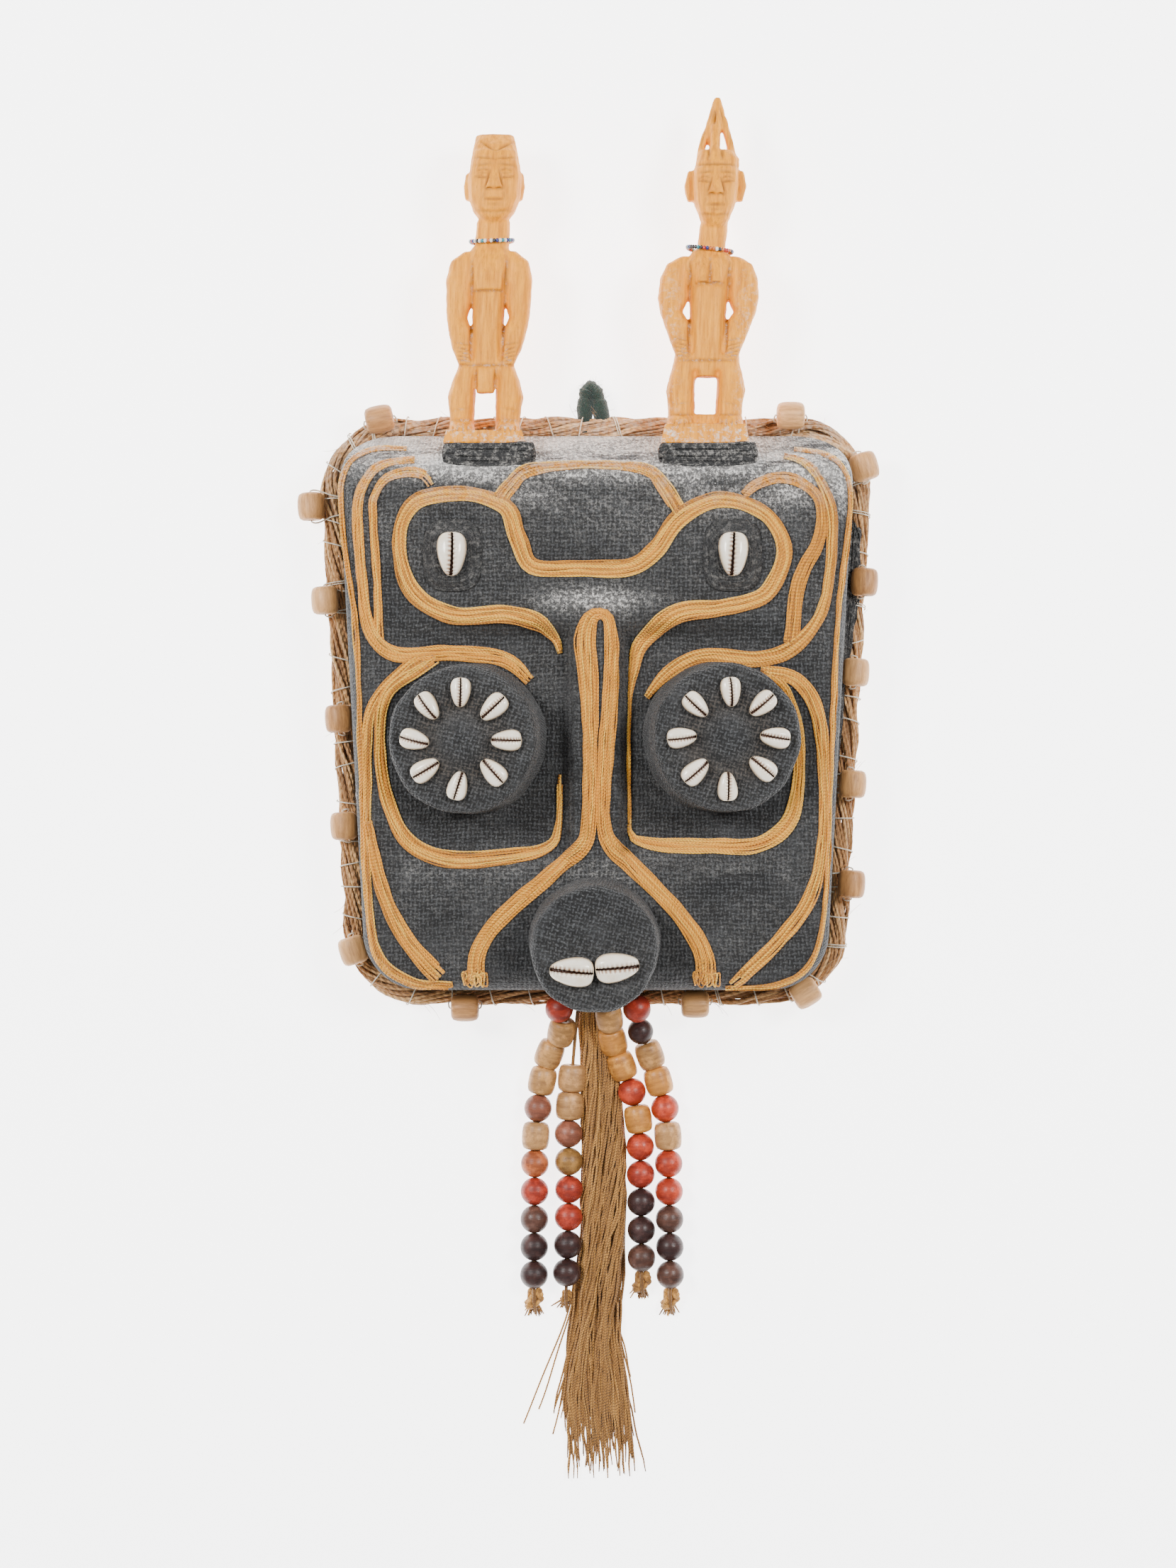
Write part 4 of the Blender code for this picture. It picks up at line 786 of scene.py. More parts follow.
CHEEK_LEFT_SLANT = (
    (-122.5, -60, 4), (-115.5, -95, 7), (-102, -124, 9), (-84.5, -144, 10),
)
TEMPLE_RIGHT = (
    (27.5, 7, 3), (39, 20, 7), (58, 29.5, 8.5), (89, 27.5, 8.5), (107, 34, 8.5), (121, 52, 6),
    (126, 80, 5), (126, 110, 5), (115, 131, 4), (102, 137, 3),
)
TEMPLE_RIGHT_INNER = (
    (105.3, 36, 8), (108.3, 64.4, 8), (112.3, 76.6, 7.5), (118.4, 88.5, 7), (121.3, 100.5, 6.5),
    (119.3, 114.5, 6), (109.3, 122.6, 6), (97.3, 124.9, 5.5), (85.3, 120.5, 5), (79.2, 115.5, 4),
)
CHEEK_RIGHT = (
    (18, -62, 1.4), (20.5, -69.5, 4), (37, -73.5, 8), (63, -74, 8.5), (88, -72.5, 8.5), (104, -60, 9),
    (109, -40, 6.5), (109, -12, 5), (101, 10, 7), (91, 19, 7.5),
)
CHEEK_RIGHT_OUTER = (
    (89, 21, 6.5), (108, 16, 8), (119, -3, 7.5), (122.5, -40, 5), (121, -75, 5), (114, -103, 7.5),
    (98, -125, 7.5), (78, -144, 7), (72.6, -147.8, 3.9),
)
NOSE = (
    (-65, -146, 10), (-63, -129, 9), (-49, -110, 8.5), (-20, -85, 8.5), (-7, -73, 9), (-3.8, -58, 7.5),
    (-3.2, -20, 7.8), (-4.1, 14, 10.5), (-5.5, 38, 11.2), (-3, 49, 8.5), (2, 51.6, 5.6),
    (6.6, 48.8, 5.8), (8.2, 38, 6.4), (7.6, 14, 8), (5.6, -20, 8), (4, -58, 7.2), (8, -73, 9),
    (20, -85, 9), (43, -108, 9), (57, -129, 10), (59, -146, 11),
)
EDGE_LEFT = (
    (-103.3, 142.2, 3), (-120.5, 142, 3), (-131.5, 135.5, 3), (-137, 125, 3), (-137.5, 112, 3),
    (-134.5, 82, 3), (-130, 50, 3), (-127.5, 10, 3), (-125.5, -60, 3), (-122.5, -110, 3.5),
    (-116, -136, 3.5), (-100, -148, 3), (-80, -150, 3),
)
EDGE_RIGHT = (
    (108, 142, 2), (123, 139, 2), (133, 130, 2.5), (137, 115, 3), (134, 83, 3), (130, 50, 3),
    (128, 10, 3), (125.5, -50, 3), (122.5, -110, 3), (115, -137, 3), (98, -148, 3), (70, -150, 3),
)
BANDS = {
    "brow_band": (BROW, ARCH),
    "temple_band_left": (TEMPLE_LEFT, TEMPLE_LEFT_INNER),
    "temple_band_right": (TEMPLE_RIGHT, TEMPLE_RIGHT_INNER),
    "cheek_band_left": (CHEEK_LEFT, CHEEK_LEFT_OUTER, CHEEK_LEFT_SLANT),
    "cheek_band_right": (CHEEK_RIGHT, CHEEK_RIGHT_OUTER),
    "nose_band": (NOSE,),
}
EDGE_LINES = {"edge_line_left": EDGE_LEFT, "edge_line_right": EDGE_RIGHT}


def lay_band(tubes, route):
    """Glues two layers of threads side by side along a route, each following the cloth."""
    step = 0.0033
    path = spline(route, step)
    widest = route[:, 2].max()
    along = np.gradient(path[:, :2], axis=0)
    along /= np.linalg.norm(along, axis=1, keepdims=True) + 1e-9
    across = along[:, ::-1] * (-1, 1)
    length = np.arange(len(path)) * step
    whole = max(2, round(widest / (1.62 * THREAD_RADIUS)))
    for layer, count in ((0, max(1, whole * 2 // 3)), (1, whole)):
        for k in range(count):
            share = (k + 0.5) / count - 0.5
            phase = rng.uniform(0, 6.28, 3)
            drift = 0.00030 * np.sin(length * rng.uniform(60, 110) + phase[0])
            drift += 0.00014 * np.sin(length * rng.uniform(220, 330) + phase[1])
            first = rng.integers(0, 3) * (rng.random() < 0.5)
            last = len(path) - rng.integers(0, 4) * (rng.random() < 0.5)
            squeeze = np.clip(path[:, 2], THREAD_RADIUS * 2, None)
            xy = path[:, :2] + across * (share * squeeze * (0.86 + 0.14 * layer) + drift)[:, None]
            x, y = xy[:, 0], xy[:, 1]
            crowd = np.clip(1.25 - squeeze / (count * 1.6 * THREAD_RADIUS), 0, 0.9)
            lift = THREAD_RADIUS * (
                0.4 + 1.05 * layer + 0.22 * np.sin(length * 150 + phase[2]) + crowd * (k % 3)
            )
            pts = on_cloth(x, y, lift)
            radius = THREAD_RADIUS * (1.22 - 0.2 * layer) * (1 + 0.14 * np.sin(length * 400 + phase[0]))
            tubes.add(pts[first:last], radius[first:last], rng.uniform(0, 1), 0.0019)


def end_loops(tubes, x, y, width):
    """Small loops of thread at a band's end, where it turns back on itself."""
    for k in range(9):
        a = np.linspace(0, 2 * np.pi, 26)
        middle = x + width * ((k + 0.5) / 9 - 0.5)
        px = middle + (0.0009 + 0.0004 * (k % 3)) * np.sin(a) + 0.0005 * np.sin(2 * a + k)
        py = y + 0.0035 * np.cos(a) + 0.0010 * math.sin(2.3 * k)
        lift = THREAD_RADIUS * (1.4 + 0.9 * np.sin(a * 2 + k) + 0.8 * (k % 2))
        tubes.add(on_cloth(px, py, lift), THREAD_RADIUS, rng.uniform(0, 1), 0.0019)


def band_pieces(paint):
    for name, routes in BANDS.items():
        tubes = Tubes(5)
        for route in routes:
            lay_band(tubes, np.array(route) / 1000)
        if name == "nose_band":
            end_loops(tubes, -0.0655, -0.1445, 0.0125)
            end_loops(tubes, 0.0595, -0.1445, 0.0135)
        tubes.build(f"{name}_threads", paint, [name], "ochre_thread")
    for name, route in EDGE_LINES.items():
        tubes = Tubes(6)
        lay_band(tubes, np.array(route) / 1000)
        tubes.build(name, paint, (), "ochre_thread")


def rim_path(out, step=0.0035):
    """Points and outward ways around the rim, out beyond the outline."""
    points, ways = [], []
    for quarter in range(4):
        right, top = (1, -1, -1, 1)[quarter], (1, 1, -1, -1)[quarter]
        y = top * (HEIGHT / 2 - CORNER)
        centre = np.array([right * (half_width(y) - CORNER), y])
        arc = math.pi / 2 * (quarter + np.linspace(0, 1, 14))
        way = np.stack([np.cos(arc), np.sin(arc)], axis=1)
        points.append(centre + way * (CORNER + out))
        ways.append(way)
    path, way = [], []
    for i in range(4):
        path.append(points[i])
        way.append(ways[i])
        a, b = points[i][-1], points[(i + 1) % 4][0]
        n = int(np.linalg.norm(b - a) / step)
        t = (np.arange(1, n) / n)[:, None]
        path.append(a + (b - a) * t)
        way.append(np.repeat(ways[i][-1:], n - 1, axis=0))
    return np.concatenate(path), np.concatenate(way)


def rope_piece(paint, white):
    """The rim's bundle of fibre, loosely twisted and sewn down with white thread."""
    path, way = rim_path(ROPE_OUT, 0.0042)
    path[:, 1] += 0.0026 * smooth(-0.12, -0.15, path[:, 1]) - 0.0017 * smooth(0.12, 0.15, path[:, 1])
    path = np.concatenate([path, path[:1]])
    way = np.concatenate([way, way[:1]])
    length = lengths_along(path)
    whole = length[-1]
    lump = 1 + 0.15 * np.sin(2 * np.pi * length / whole * 31) * np.sin(
        2 * np.pi * length / whole * 7 + 1
    )
    up = np.array([0, 0, 1.0])
    way3 = np.concatenate([way, 0 * way[:, :1]], axis=1)
    base = np.concatenate([path, np.full((len(path), 1), ROPE_Z)], axis=1)
    tubes = Tubes(5)
    for j in range(ROPE_STRANDS):
        ring = 0.0045 if j < 21 else 0.0032 if j < 31 else 0.0014
        turns = rng.integers(8, 12)
        phase = 2 * np.pi * j / (21 if j < 21 else 10) + rng.uniform(-0.15, 0.15)
        angle = phase + 2 * np.pi * turns * length / whole
        angle = angle + 0.5 * np.sin(2 * np.pi * length / whole * rng.integers(4, 9) + j)
        reach = ring * lump * (
            1 + 0.14 * np.sin(2 * np.pi * length / whole * rng.integers(14, 30) + 2 * j)
        )
        pts = base + way3 * (reach * np.cos(angle))[:, None] + up * (reach * np.sin(angle))[:, None]
        pts[:, 2] = np.maximum(pts[:, 2], 0.0014)
        tubes.add(pts, 0.00086, rng.uniform(0, 1), 0.004)
    for _ in range(150):
        i = rng.integers(4, len(path) - 8)
        angle = rng.uniform(-0.6, 2.6)
        lean = rng.uniform(-0.006, 0.010)
        n = 6
        t = np.linspace(0, 1, n)[:, None]
        start = base[i] + way3[i] * 0.0045 * math.cos(angle) + up * 0.0045 * abs(math.sin(angle))
        tangent = (base[i + 3] - base[i]) / np.linalg.norm(base[i + 3] - base[i])
        pts = (
            start + tangent * t * rng.uniform(0.004, 0.012) + way3[i] * lean * t**2
            + up * 0.002 * t * (1 - t)
        )
        tubes.add(pts, np.linspace(0.00016, 0.00006, n), 0.9)
    tubes.build("fibre_rope", paint, ["edge_rope"], "fibre")
    stitches = Tubes(5)
    at = 0.004
    while at < whole - 0.01:
        i = int(np.searchsorted(length, at))
        i = min(i, len(path) - 4)
        slant = rng.uniform(-0.006, 0.006)
        tangent = (base[i + 2] - base[i]) / np.linalg.norm(base[i + 2] - base[i])
        arc = np.linspace(-0.35, math.pi + 0.25, 14)[:, None]
        reach = ROPE_RADIUS + 0.0006
        pts = (
            base[i] + way3[i] * reach * np.cos(arc) + up * reach * np.sin(arc)
            + tangent * slant * (arc / math.pi - 0.5)
        )
        if path[i][1] < 0.145 or rng.random() < 0.5:
            stitches.add(pts, 0.00038, 0.5)
        if rng.random() < 0.22:
            stitches.add(pts + tangent * 0.0012, 0.00034, 0.5)
        at += rng.uniform(0.012, 0.024)
    stitches.build("rope_stitches", white, (), "fibre")


def barrel_profile(radius, length, bore, parts=20):
    """Half the outline of a barrel bead, from its bore over its side to its bore."""
    t = np.linspace(-1, 1, parts)
    side = [
        (radius * (0.66 + 0.34 * max(0.0, 1 - abs(k) ** 2.7) ** 0.45), k * length / 2 * 0.985)
        for k in t
    ]
    ends = [
        (bore, -length / 2 + 0.0010), (bore + 0.0004, -length / 2 + 0.0001),
        (radius * 0.58, -length / 2),
    ]
    return ends + side + [(r, -z) for r, z in reversed(ends)]


def round_profile(radius, bore, parts=20):
    first = math.asin(bore / radius)
    angles = np.linspace(first, math.pi - first, parts)
    side = [(radius * math.sin(a), -radius * math.cos(a)) for a in angles]
    deep = radius * math.cos(first) - 0.0015
    return [(bore * 0.8, -deep), *side, (bore * 0.8, deep)]


def bead_object(name, kind, matrix, paint, nodes=(), grow=1.0):
    """A turned wooden bead with its bore, along the matrix's X axis."""
    bore = 0.0017
    if kind == "b":
        profile = barrel_profile(BARREL_RADIUS * grow, BARREL_LENGTH * grow, bore)
    else:
        profile = round_profile(ROUND_RADIUS * grow, bore)
    sides = BEAD_SIDES
    angle = 2 * np.pi * np.arange(sides) / sides
    r = np.array([p[0] for p in profile])[:, None]
    z = np.array([p[1] for p in profile])[:, None]
    wobble = 1 + 0.006 * np.sin(2 * angle + rng.uniform(0, 6)) + 0.004 * np.sin(5 * angle)
    local = stack(z, r * wobble * np.cos(angle), r * wobble * np.sin(angle)).reshape(-1, 3)
    points = moved(local, matrix)
    points[:, 2] = np.maximum(points[:, 2], 0.00005)
    faces = grid_faces(len(profile) + 1, sides, closed=True)
    faces = faces[faces.max(axis=1) < len(local)].tolist()
    last = (len(profile) - 1) * sides
    faces += [[last + k, last + (k + 1) % sides, (k + 1) % sides, k] for k in range(sides)]
    grain = local + rng.uniform(-1, 1, 3)
    return make_object(name, points, faces, paint, {"grain": grain}, nodes)


EDGE_BEADS = (
    (-0.119, 0.1605), (0.107, 0.1625), (0.1475, 0.1345), (0.1475, 0.071), (0.1405, 0.0215),
    (0.141, -0.040), (0.1405, -0.095), (0.114, -0.153), (0.0545, -0.161), (-0.072, -0.163),
    (-0.132, -0.131), (-0.1385, -0.063), (-0.1395, -0.004), (-0.149, 0.061), (-0.157, 0.113),
)


def edge_beads(paints, white):
    """The rim's beads where the frame has them, each tied to the rope with white thread."""
    for number, _ in enumerate(EDGE_BEADS, 1):
        low, high = (Vector(c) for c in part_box(f"edge_bead_{number}"))
        centre = (low + high) / 2 - ORIGIN
        x, y = centre.x, centre.y
        step = 0.001
        gx = float(inset(x - step, y) - inset(x + step, y))
        gy = float(inset(x, y - step) - inset(x, y + step))
        out = Vector((gx, gy)).normalized()
        along = math.atan2(out.y, out.x) + math.pi / 2
        matrix = Matrix.Translation(centre) @ Matrix.Rotation(along, 4, "Z")
        bead_object(
            f"edge_bead_{number}_wood", "b", matrix, paints[number % len(paints)],
            [f"edge_bead_{number}"],
        )
        tie = Tubes(5)
        tangent = Vector((-out.y, out.x, 0))
        out3 = Vector((out.x, out.y, 0))
        rope_at = centre - out3 * max(0.0, -float(inset(x, y)) - ROPE_OUT)
        rope_at.z = ROPE_Z
        for sign in (-1, 1):
            points = [
                centre + tangent * sign * 0.0060,
                centre + tangent * sign * 0.0084 + out3 * 0.0002,
                centre + tangent * sign * 0.0090 - out3 * 0.003 - Vector((0, 0, 0.002)),
                rope_at + tangent * sign * 0.0060 + Vector((0, 0, 0.0062)),
                rope_at + tangent * sign * 0.0050 - out3 * 0.005 + Vector((0, 0, 0.0040)),
            ]
            tie.add(spline([tuple(p) for p in points], 0.0012), 0.00045, 0.5)
        tie.build(f"bead_tie_{number}", white, (), "fibre")


ON_GROUND = BARREL_RADIUS
ON_ROPE = 0.0207
# Each string: its way from the rope to its knot, where its first bead sits, its beads' kinds and colours.
BEAD_STRINGS = (
    (
        ((-0.0202, -0.1635, ON_ROPE), (-0.0192, -0.1775, 0.0127), (-0.0264, -0.1910, 0.0080),
         (-0.0313, -0.2140, ON_GROUND), (-0.0337, -0.2450, ON_GROUND), (-0.0344, -0.3400, ON_GROUND)),
        0.0, "rbbbrbrrrrr",
        ("red", "tan", "tan", "tan", "pink", "beige", "orange", "red", "brown", "dark", "dark"),
    ),
    (
        ((-0.0098, -0.1610, 0.0175), (-0.0108, -0.1720, 0.0150), (-0.0132, -0.2000, ON_GROUND),
         (-0.0152, -0.2300, ON_GROUND), (-0.0150, -0.2700, ON_GROUND), (-0.0168, -0.3300, ON_GROUND)),
        0.0435, "bbrrrrrr",
        ("beige", "beige", "pink", "olive", "red", "red", "dark", "dark"),
    ),
    (
        ((0.0073, -0.1685, 0.0172), (0.0098, -0.1835, 0.0095), (0.0152, -0.1980, ON_GROUND),
         (0.0205, -0.2125, ON_GROUND), (0.0238, -0.2285, ON_GROUND), (0.0248, -0.2550, ON_GROUND),
         (0.0255, -0.3300, ON_GROUND)),
        0.0, "bbbrbrrrrr",
        ("tan", "yellow", "yellow", "bright", "yellow", "bright", "red", "dark", "dark", "brown"),
    ),
    (
        ((0.0225, -0.1635, ON_ROPE), (0.0247, -0.1770, 0.0128), (0.0300, -0.1905, 0.0078),
         (0.0347, -0.2050, ON_GROUND), (0.0384, -0.2205, ON_GROUND), (0.0402, -0.2450, ON_GROUND),
         (0.0414, -0.3400, ON_GROUND)),
        0.0, "rrbbrbrrrrr",
        (
            "red", "dark", "tan", "yellow", "bright", "beige", "bright", "bright", "brown", "dark",
            "brown",
        ),
    ),
)


def along_route(route, start, pitch, count):
    """Points a pitch apart, measured along a smooth curve through the route's points."""
    curve = spline(route, 0.002)
    out, passed, wanted = [], 0.0, start
    for a, b in zip(curve, curve[1:]):
        step = float(np.linalg.norm(b - a))
        while len(out) < count and wanted <= passed + step:
            point = Vector(a + (b - a) * (wanted - passed) / step)
            point.z = max(point.z, ON_GROUND)
            out.append(point)
            wanted += pitch
        passed += step
    return out


def bead_strings(paints, cord_paint):
    """Each string: a thin cord with its beads on it and a knot of frayed thread at its end."""
    for number, (route, start, kinds, colours) in enumerate(BEAD_STRINGS, 1):
        centres = along_route(route, start, BEAD_PITCH, len(kinds) + 1)
        lead = [Vector(p) for p in spline(route, 0.004) if p[1] > centres[0].y + 0.004]
        path = [*lead, *centres]
        tail = centres[-1] + (centres[-1] - centres[-2]).normalized() * 0.007
        path.append(Vector((tail.x + 0.001, tail.y, 0.0030)))
        curve = bpy.data.curves.new(f"string_{number}_cord", "CURVE")
        curve.dimensions = "3D"
        curve.bevel_depth = STRING_DIAMETER / 2
        curve.bevel_resolution = 2
        curve.use_fill_caps = True
        line = curve.splines.new("POLY")
        line.points.add(len(path) - 1)
        for point, place in zip(line.points, path):
            point.co = (*(place + ORIGIN), 1)
        cord = link(f"string_{number}_cord", curve)
        curve.materials.append(cord_paint)
        settle(cord, [f"bead_string_{number}"])
        for i, (kind, colour) in enumerate(zip(kinds, colours)):
            ahead = centres[i + 1] - centres[max(i - 1, 0)]
            turn = ahead.to_track_quat("X", "Z").to_matrix().to_4x4()
            roll = Matrix.Rotation(rng.uniform(0, 6.28), 4, "X")
            matrix = Matrix.Translation(centres[i]) @ turn @ roll
            small = 0.93 if (number == 4 and i == 1) else 1.0
            bead = bead_object(
                f"string_{number}_bead_{i + 1}", kind, matrix, paints[colour], (), small
            )
        ahead = (centres[-1] - centres[-2]).normalized()
        knot_piece(
                f"string_{number}_knot", centres[-1], ahead, cord_paint, 0.62 if number == 2 else 1.0
            )
        length = sum((b - a).length for a, b in zip(path, path[1:]))


def knot_piece(name, centre, ahead, paint, size=1.0):
    """A fat knot of thread hard against the last bead, with a tuft of frayed ends."""
    tubes = Tubes(7)
    t = np.linspace(0, 2 * np.pi, 44)
    middle = centre - ahead * 0.0016
    side = Vector((ahead.y, -ahead.x, 0))
    for k in range(4):
        u = (0.0040 * np.sin(t + k * 0.8) + 0.0010 * np.sin(2 * t)) * size
        v = (0.0033 * np.cos(t) - 0.0009 * np.cos(2 * t + k)) * size
        z = 0.0042 + (0.0016 * np.sin(2 * t + 1.6 * k)) * size
        x = middle.x + ahead.x * u + side.x * v
        y = middle.y + ahead.y * u + side.y * v
        tubes.add(stack(x, y, np.maximum(z, 0.0013)), 0.00145 * size, rng.uniform(0.3, 0.9), 0.003)
    for _ in range(26):
        n = 7
        s = np.linspace(0, 1, n)
        lean, reach = rng.normal(0, 0.0018), rng.uniform(0.004, 0.0085) * size
        x = middle.x + ahead.x * (0.002 + reach * s) + side.x * lean * (0.4 + s)
        y = middle.y + ahead.y * (0.002 + reach * s) + side.y * lean * (0.4 + s)
        tubes.add(stack(x, y, 0.0040 - 0.0032 * s), np.linspace(0.00062, 0.00032, n), rng.uniform(0, 1))
    return tubes.build(name, paint, (), "string_beads")


# The tassel's two hanks in mm: y, left edge and right edge, and how many cords are in each.
HANKS = (
    (
        (
            (-160, -9, -2), (-170, -9.8, -1.2), (-184, -8.5, 1.4), (-221, -7.8, 3.4), (-260, -7.8, 4),
            (-294, -8.8, 5), (-322, -12.8, 5), (-350, -16.5, 4), (-380, -18, 2), (-412, -16, 5),
        ),
        72,
    ),
    (
        (
            (-160, 0, 3), (-178, 0.6, 5), (-194, 1, 10), (-212, 1.8, 14), (-240, 2.6, 16),
            (-276, 2.6, 16.6), (-312, -1, 16.2), (-330, -2.2, 14.6), (-350, -3, 14), (-376, -3, 18),
            (-412, -2, 22),
        ),
        82,
    ),
)

# Where the longest loose cords end.
STRAYS = (
    (-0.0410, -0.3960), (-0.0330, -0.3880), (-0.0245, -0.4020), (0.0225, -0.3900), (0.0205, -0.3700)
)
TASSEL_RADIUS = 0.00060
TASSEL_PLY = 0.0016
TASSEL_PARTS = 40


def tassel_piece(paint):
    """Two hanks of fine cords that hang out from behind the mouth and lie loosely on the ground."""
    tubes = Tubes(5)
    for which, (shape, count) in enumerate(HANKS):
        at, left, right = np.array(shape).T / 1000
        for k in range(count):
            stray = rng.random() < 0.11
            end = -0.4090 + rng.normal(0, 0.0095) + (0.026 * rng.random() if stray else 0)
            end = min(max(end, -0.4262), -0.380)
            n = TASSEL_PARTS
            y = np.linspace(-0.160 - rng.uniform(0, 0.002), end, n)
            t = np.linspace(0, 1, n)
            turn = 2 * np.pi * (k / count + (0.9 + 0.5 * rng.random()) * t) + 0.5 * np.sin(9 * t + k)
            reach = np.sqrt(rng.uniform(0.02, 1))
            open_ = smooth(0.45, 0.95, t)
            lane = 0.5 + 0.5 * reach * np.cos(turn) * (1 - open_) + ((k + 0.5) / count - 0.5) * open_
            lo, hi = np.interp(-y, -at, left), np.interp(-y, -at, right)
            x = lo + (hi - lo) * lane + 0.0006 * np.sin(y * rng.uniform(120, 260) + rng.uniform(0, 6))
            if stray:
                way = (-1, 1)[which] if rng.random() < 0.75 else (1, -1)[which]
                x = x + way * rng.uniform(0.003, 0.015) * np.clip((t - 0.70) / 0.30, 0, 1) ** 1.5
            thick = np.interp(-y, -at[[0, 3, 6, -1]], [0.0085, 0.0085, 0.0062, 0.0022])
            z = 0.0007 + thick * 0.5 * (1 + reach * np.sin(turn))
            if stray:
                z = z * (1 - 0.85 * t**3)
            z = np.maximum(z, 0.0006)
            z[:3] += np.array([0.004, 0.002, 0.0006])
            radius = TASSEL_RADIUS * (1 + 0.12 * np.sin(y * 900 + k))
            radius[-2:] *= (0.8, 0.5)
            # Cords that lie higher in the hank get a lighter tint and deeper ones a darker: painted shade
            # inside the hank.
            tint = np.clip(0.30 + 0.5 * rng.random() + 0.15 * np.sin(turn).mean(), 0, 1)
            tubes.add(stack(x, y, z), radius, tint, TASSEL_PLY)
    # Twelve thick cords under each hank, in its darkest tint, fill the gaps between the cords: painted
    # shade beneath the hank.
    for shape, _ in HANKS:
        at, left, right = np.array(shape).T / 1000
        y = np.linspace(-0.162, -0.392, 30)
        lo, hi = np.interp(-y, -at, left), np.interp(-y, -at, right)
        for k in range(12):
            x = lo + (hi - lo) * ((k + 0.5) / 12 + 0.02 * np.sin(y * 150 + k))
            tubes.add(stack(x, y, 0.0013), np.linspace(0.00115, 0.0007, 30), 0.1, TASSEL_PLY)
    for k, (far_x, far_y) in enumerate(STRAYS):
        n = TASSEL_PARTS
        t = np.linspace(0, 1, n)
        start = np.array([-0.012 if far_x < 0 else 0.012, -0.310 - 0.006 * k])
        x = start[0] + (far_x - start[0]) * t**1.8 + 0.0012 * np.sin(7 * t + k) * t
        y = start[1] + (far_y - start[1]) * (0.75 * t + 0.25 * t**2)
        z = 0.0040 * (1 - t) ** 2 + 0.0006
        tubes.add(stack(x, y, z), np.linspace(TASSEL_RADIUS, 0.00045, n), 0.6, TASSEL_PLY)
    tubes.build("tassel_cords", paint, ["tassel"], "fibre")


def loop_piece(paint):
    """The hanging loop of felted green wool, pinched at its top."""
    foot, rise = HEIGHT / 2 + 0.0120, 0.0152
    a = np.linspace(-0.16, 1.16, 60) * np.pi
    up = np.sign(np.sin(a)) * np.abs(np.sin(a)) ** 0.62
    x = -0.0029 + 0.0030 * np.cos(a) + np.where(np.cos(a) > 0, 0.0031, -0.0002) * (1 - up)
    y = foot + rise * up
    tubes = Tubes(20)
    pts = stack(x, y, 0.0066)
    radius = LOOP_RADIUS * (1 + 0.09 * np.sin(a * 9) + 0.05 * np.sin(a * 23 + 1))
    tubes.add(pts, radius, 0.5, 0.004)
    for _ in range(260):
        i = rng.integers(0, 59)
        b = rng.uniform(0, 2 * np.pi)
        side = np.array([math.cos(b) * math.cos(a[i]), math.cos(b) * math.sin(a[i]), math.sin(b)])
        start = pts[i] + side * LOOP_RADIUS
        t = np.linspace(0, 1, 5)[:, None]
        curl = rng.normal(0, 0.0012, 3)
        hair = start + side * t * rng.uniform(0.0006, 0.0020) + curl * t**2
        hair[:, 2] = np.maximum(hair[:, 2], 0.0004)
        tubes.add(hair, np.linspace(0.00010, 0.00005, 5), 0.8)
    tubes.build("wool_loop", paint, ["hanging_loop"], "green_wool")


def ring_points(height, cx, cz, half, deep, sides, square):
    c, s = squarish(2 * np.pi * (np.arange(sides) + 0.5) / sides, square)
    return stack(cx + half * c, height, cz + deep * s)


def loft_arrays(sections, sides, square, mirror):
    """Points and faces of a closed body from its sections, given in mm as in the tables below."""
    rings = [
        ring_points(y, mirror * cx, cz, half, deep, sides, square) for y, cx, cz, half, deep in sections
    ]
    points = np.concatenate(rings) * 0.001
    faces = grid_faces(len(rings), sides, closed=True).tolist()
    faces.append(list(range(sides))[::-1])
    faces.append([(len(rings) - 1) * sides + k for k in range(sides)])
    return points, faces


BOX_FACES = ((0, 1, 3, 2), (4, 6, 7, 5), (0, 4, 5, 1), (2, 3, 7, 6), (0, 2, 6, 4), (1, 5, 7, 3))
FIGURE_VOXEL = 0.00078
FIGURE_FOOT = 0.1545
FIGURE_Z = 0.036

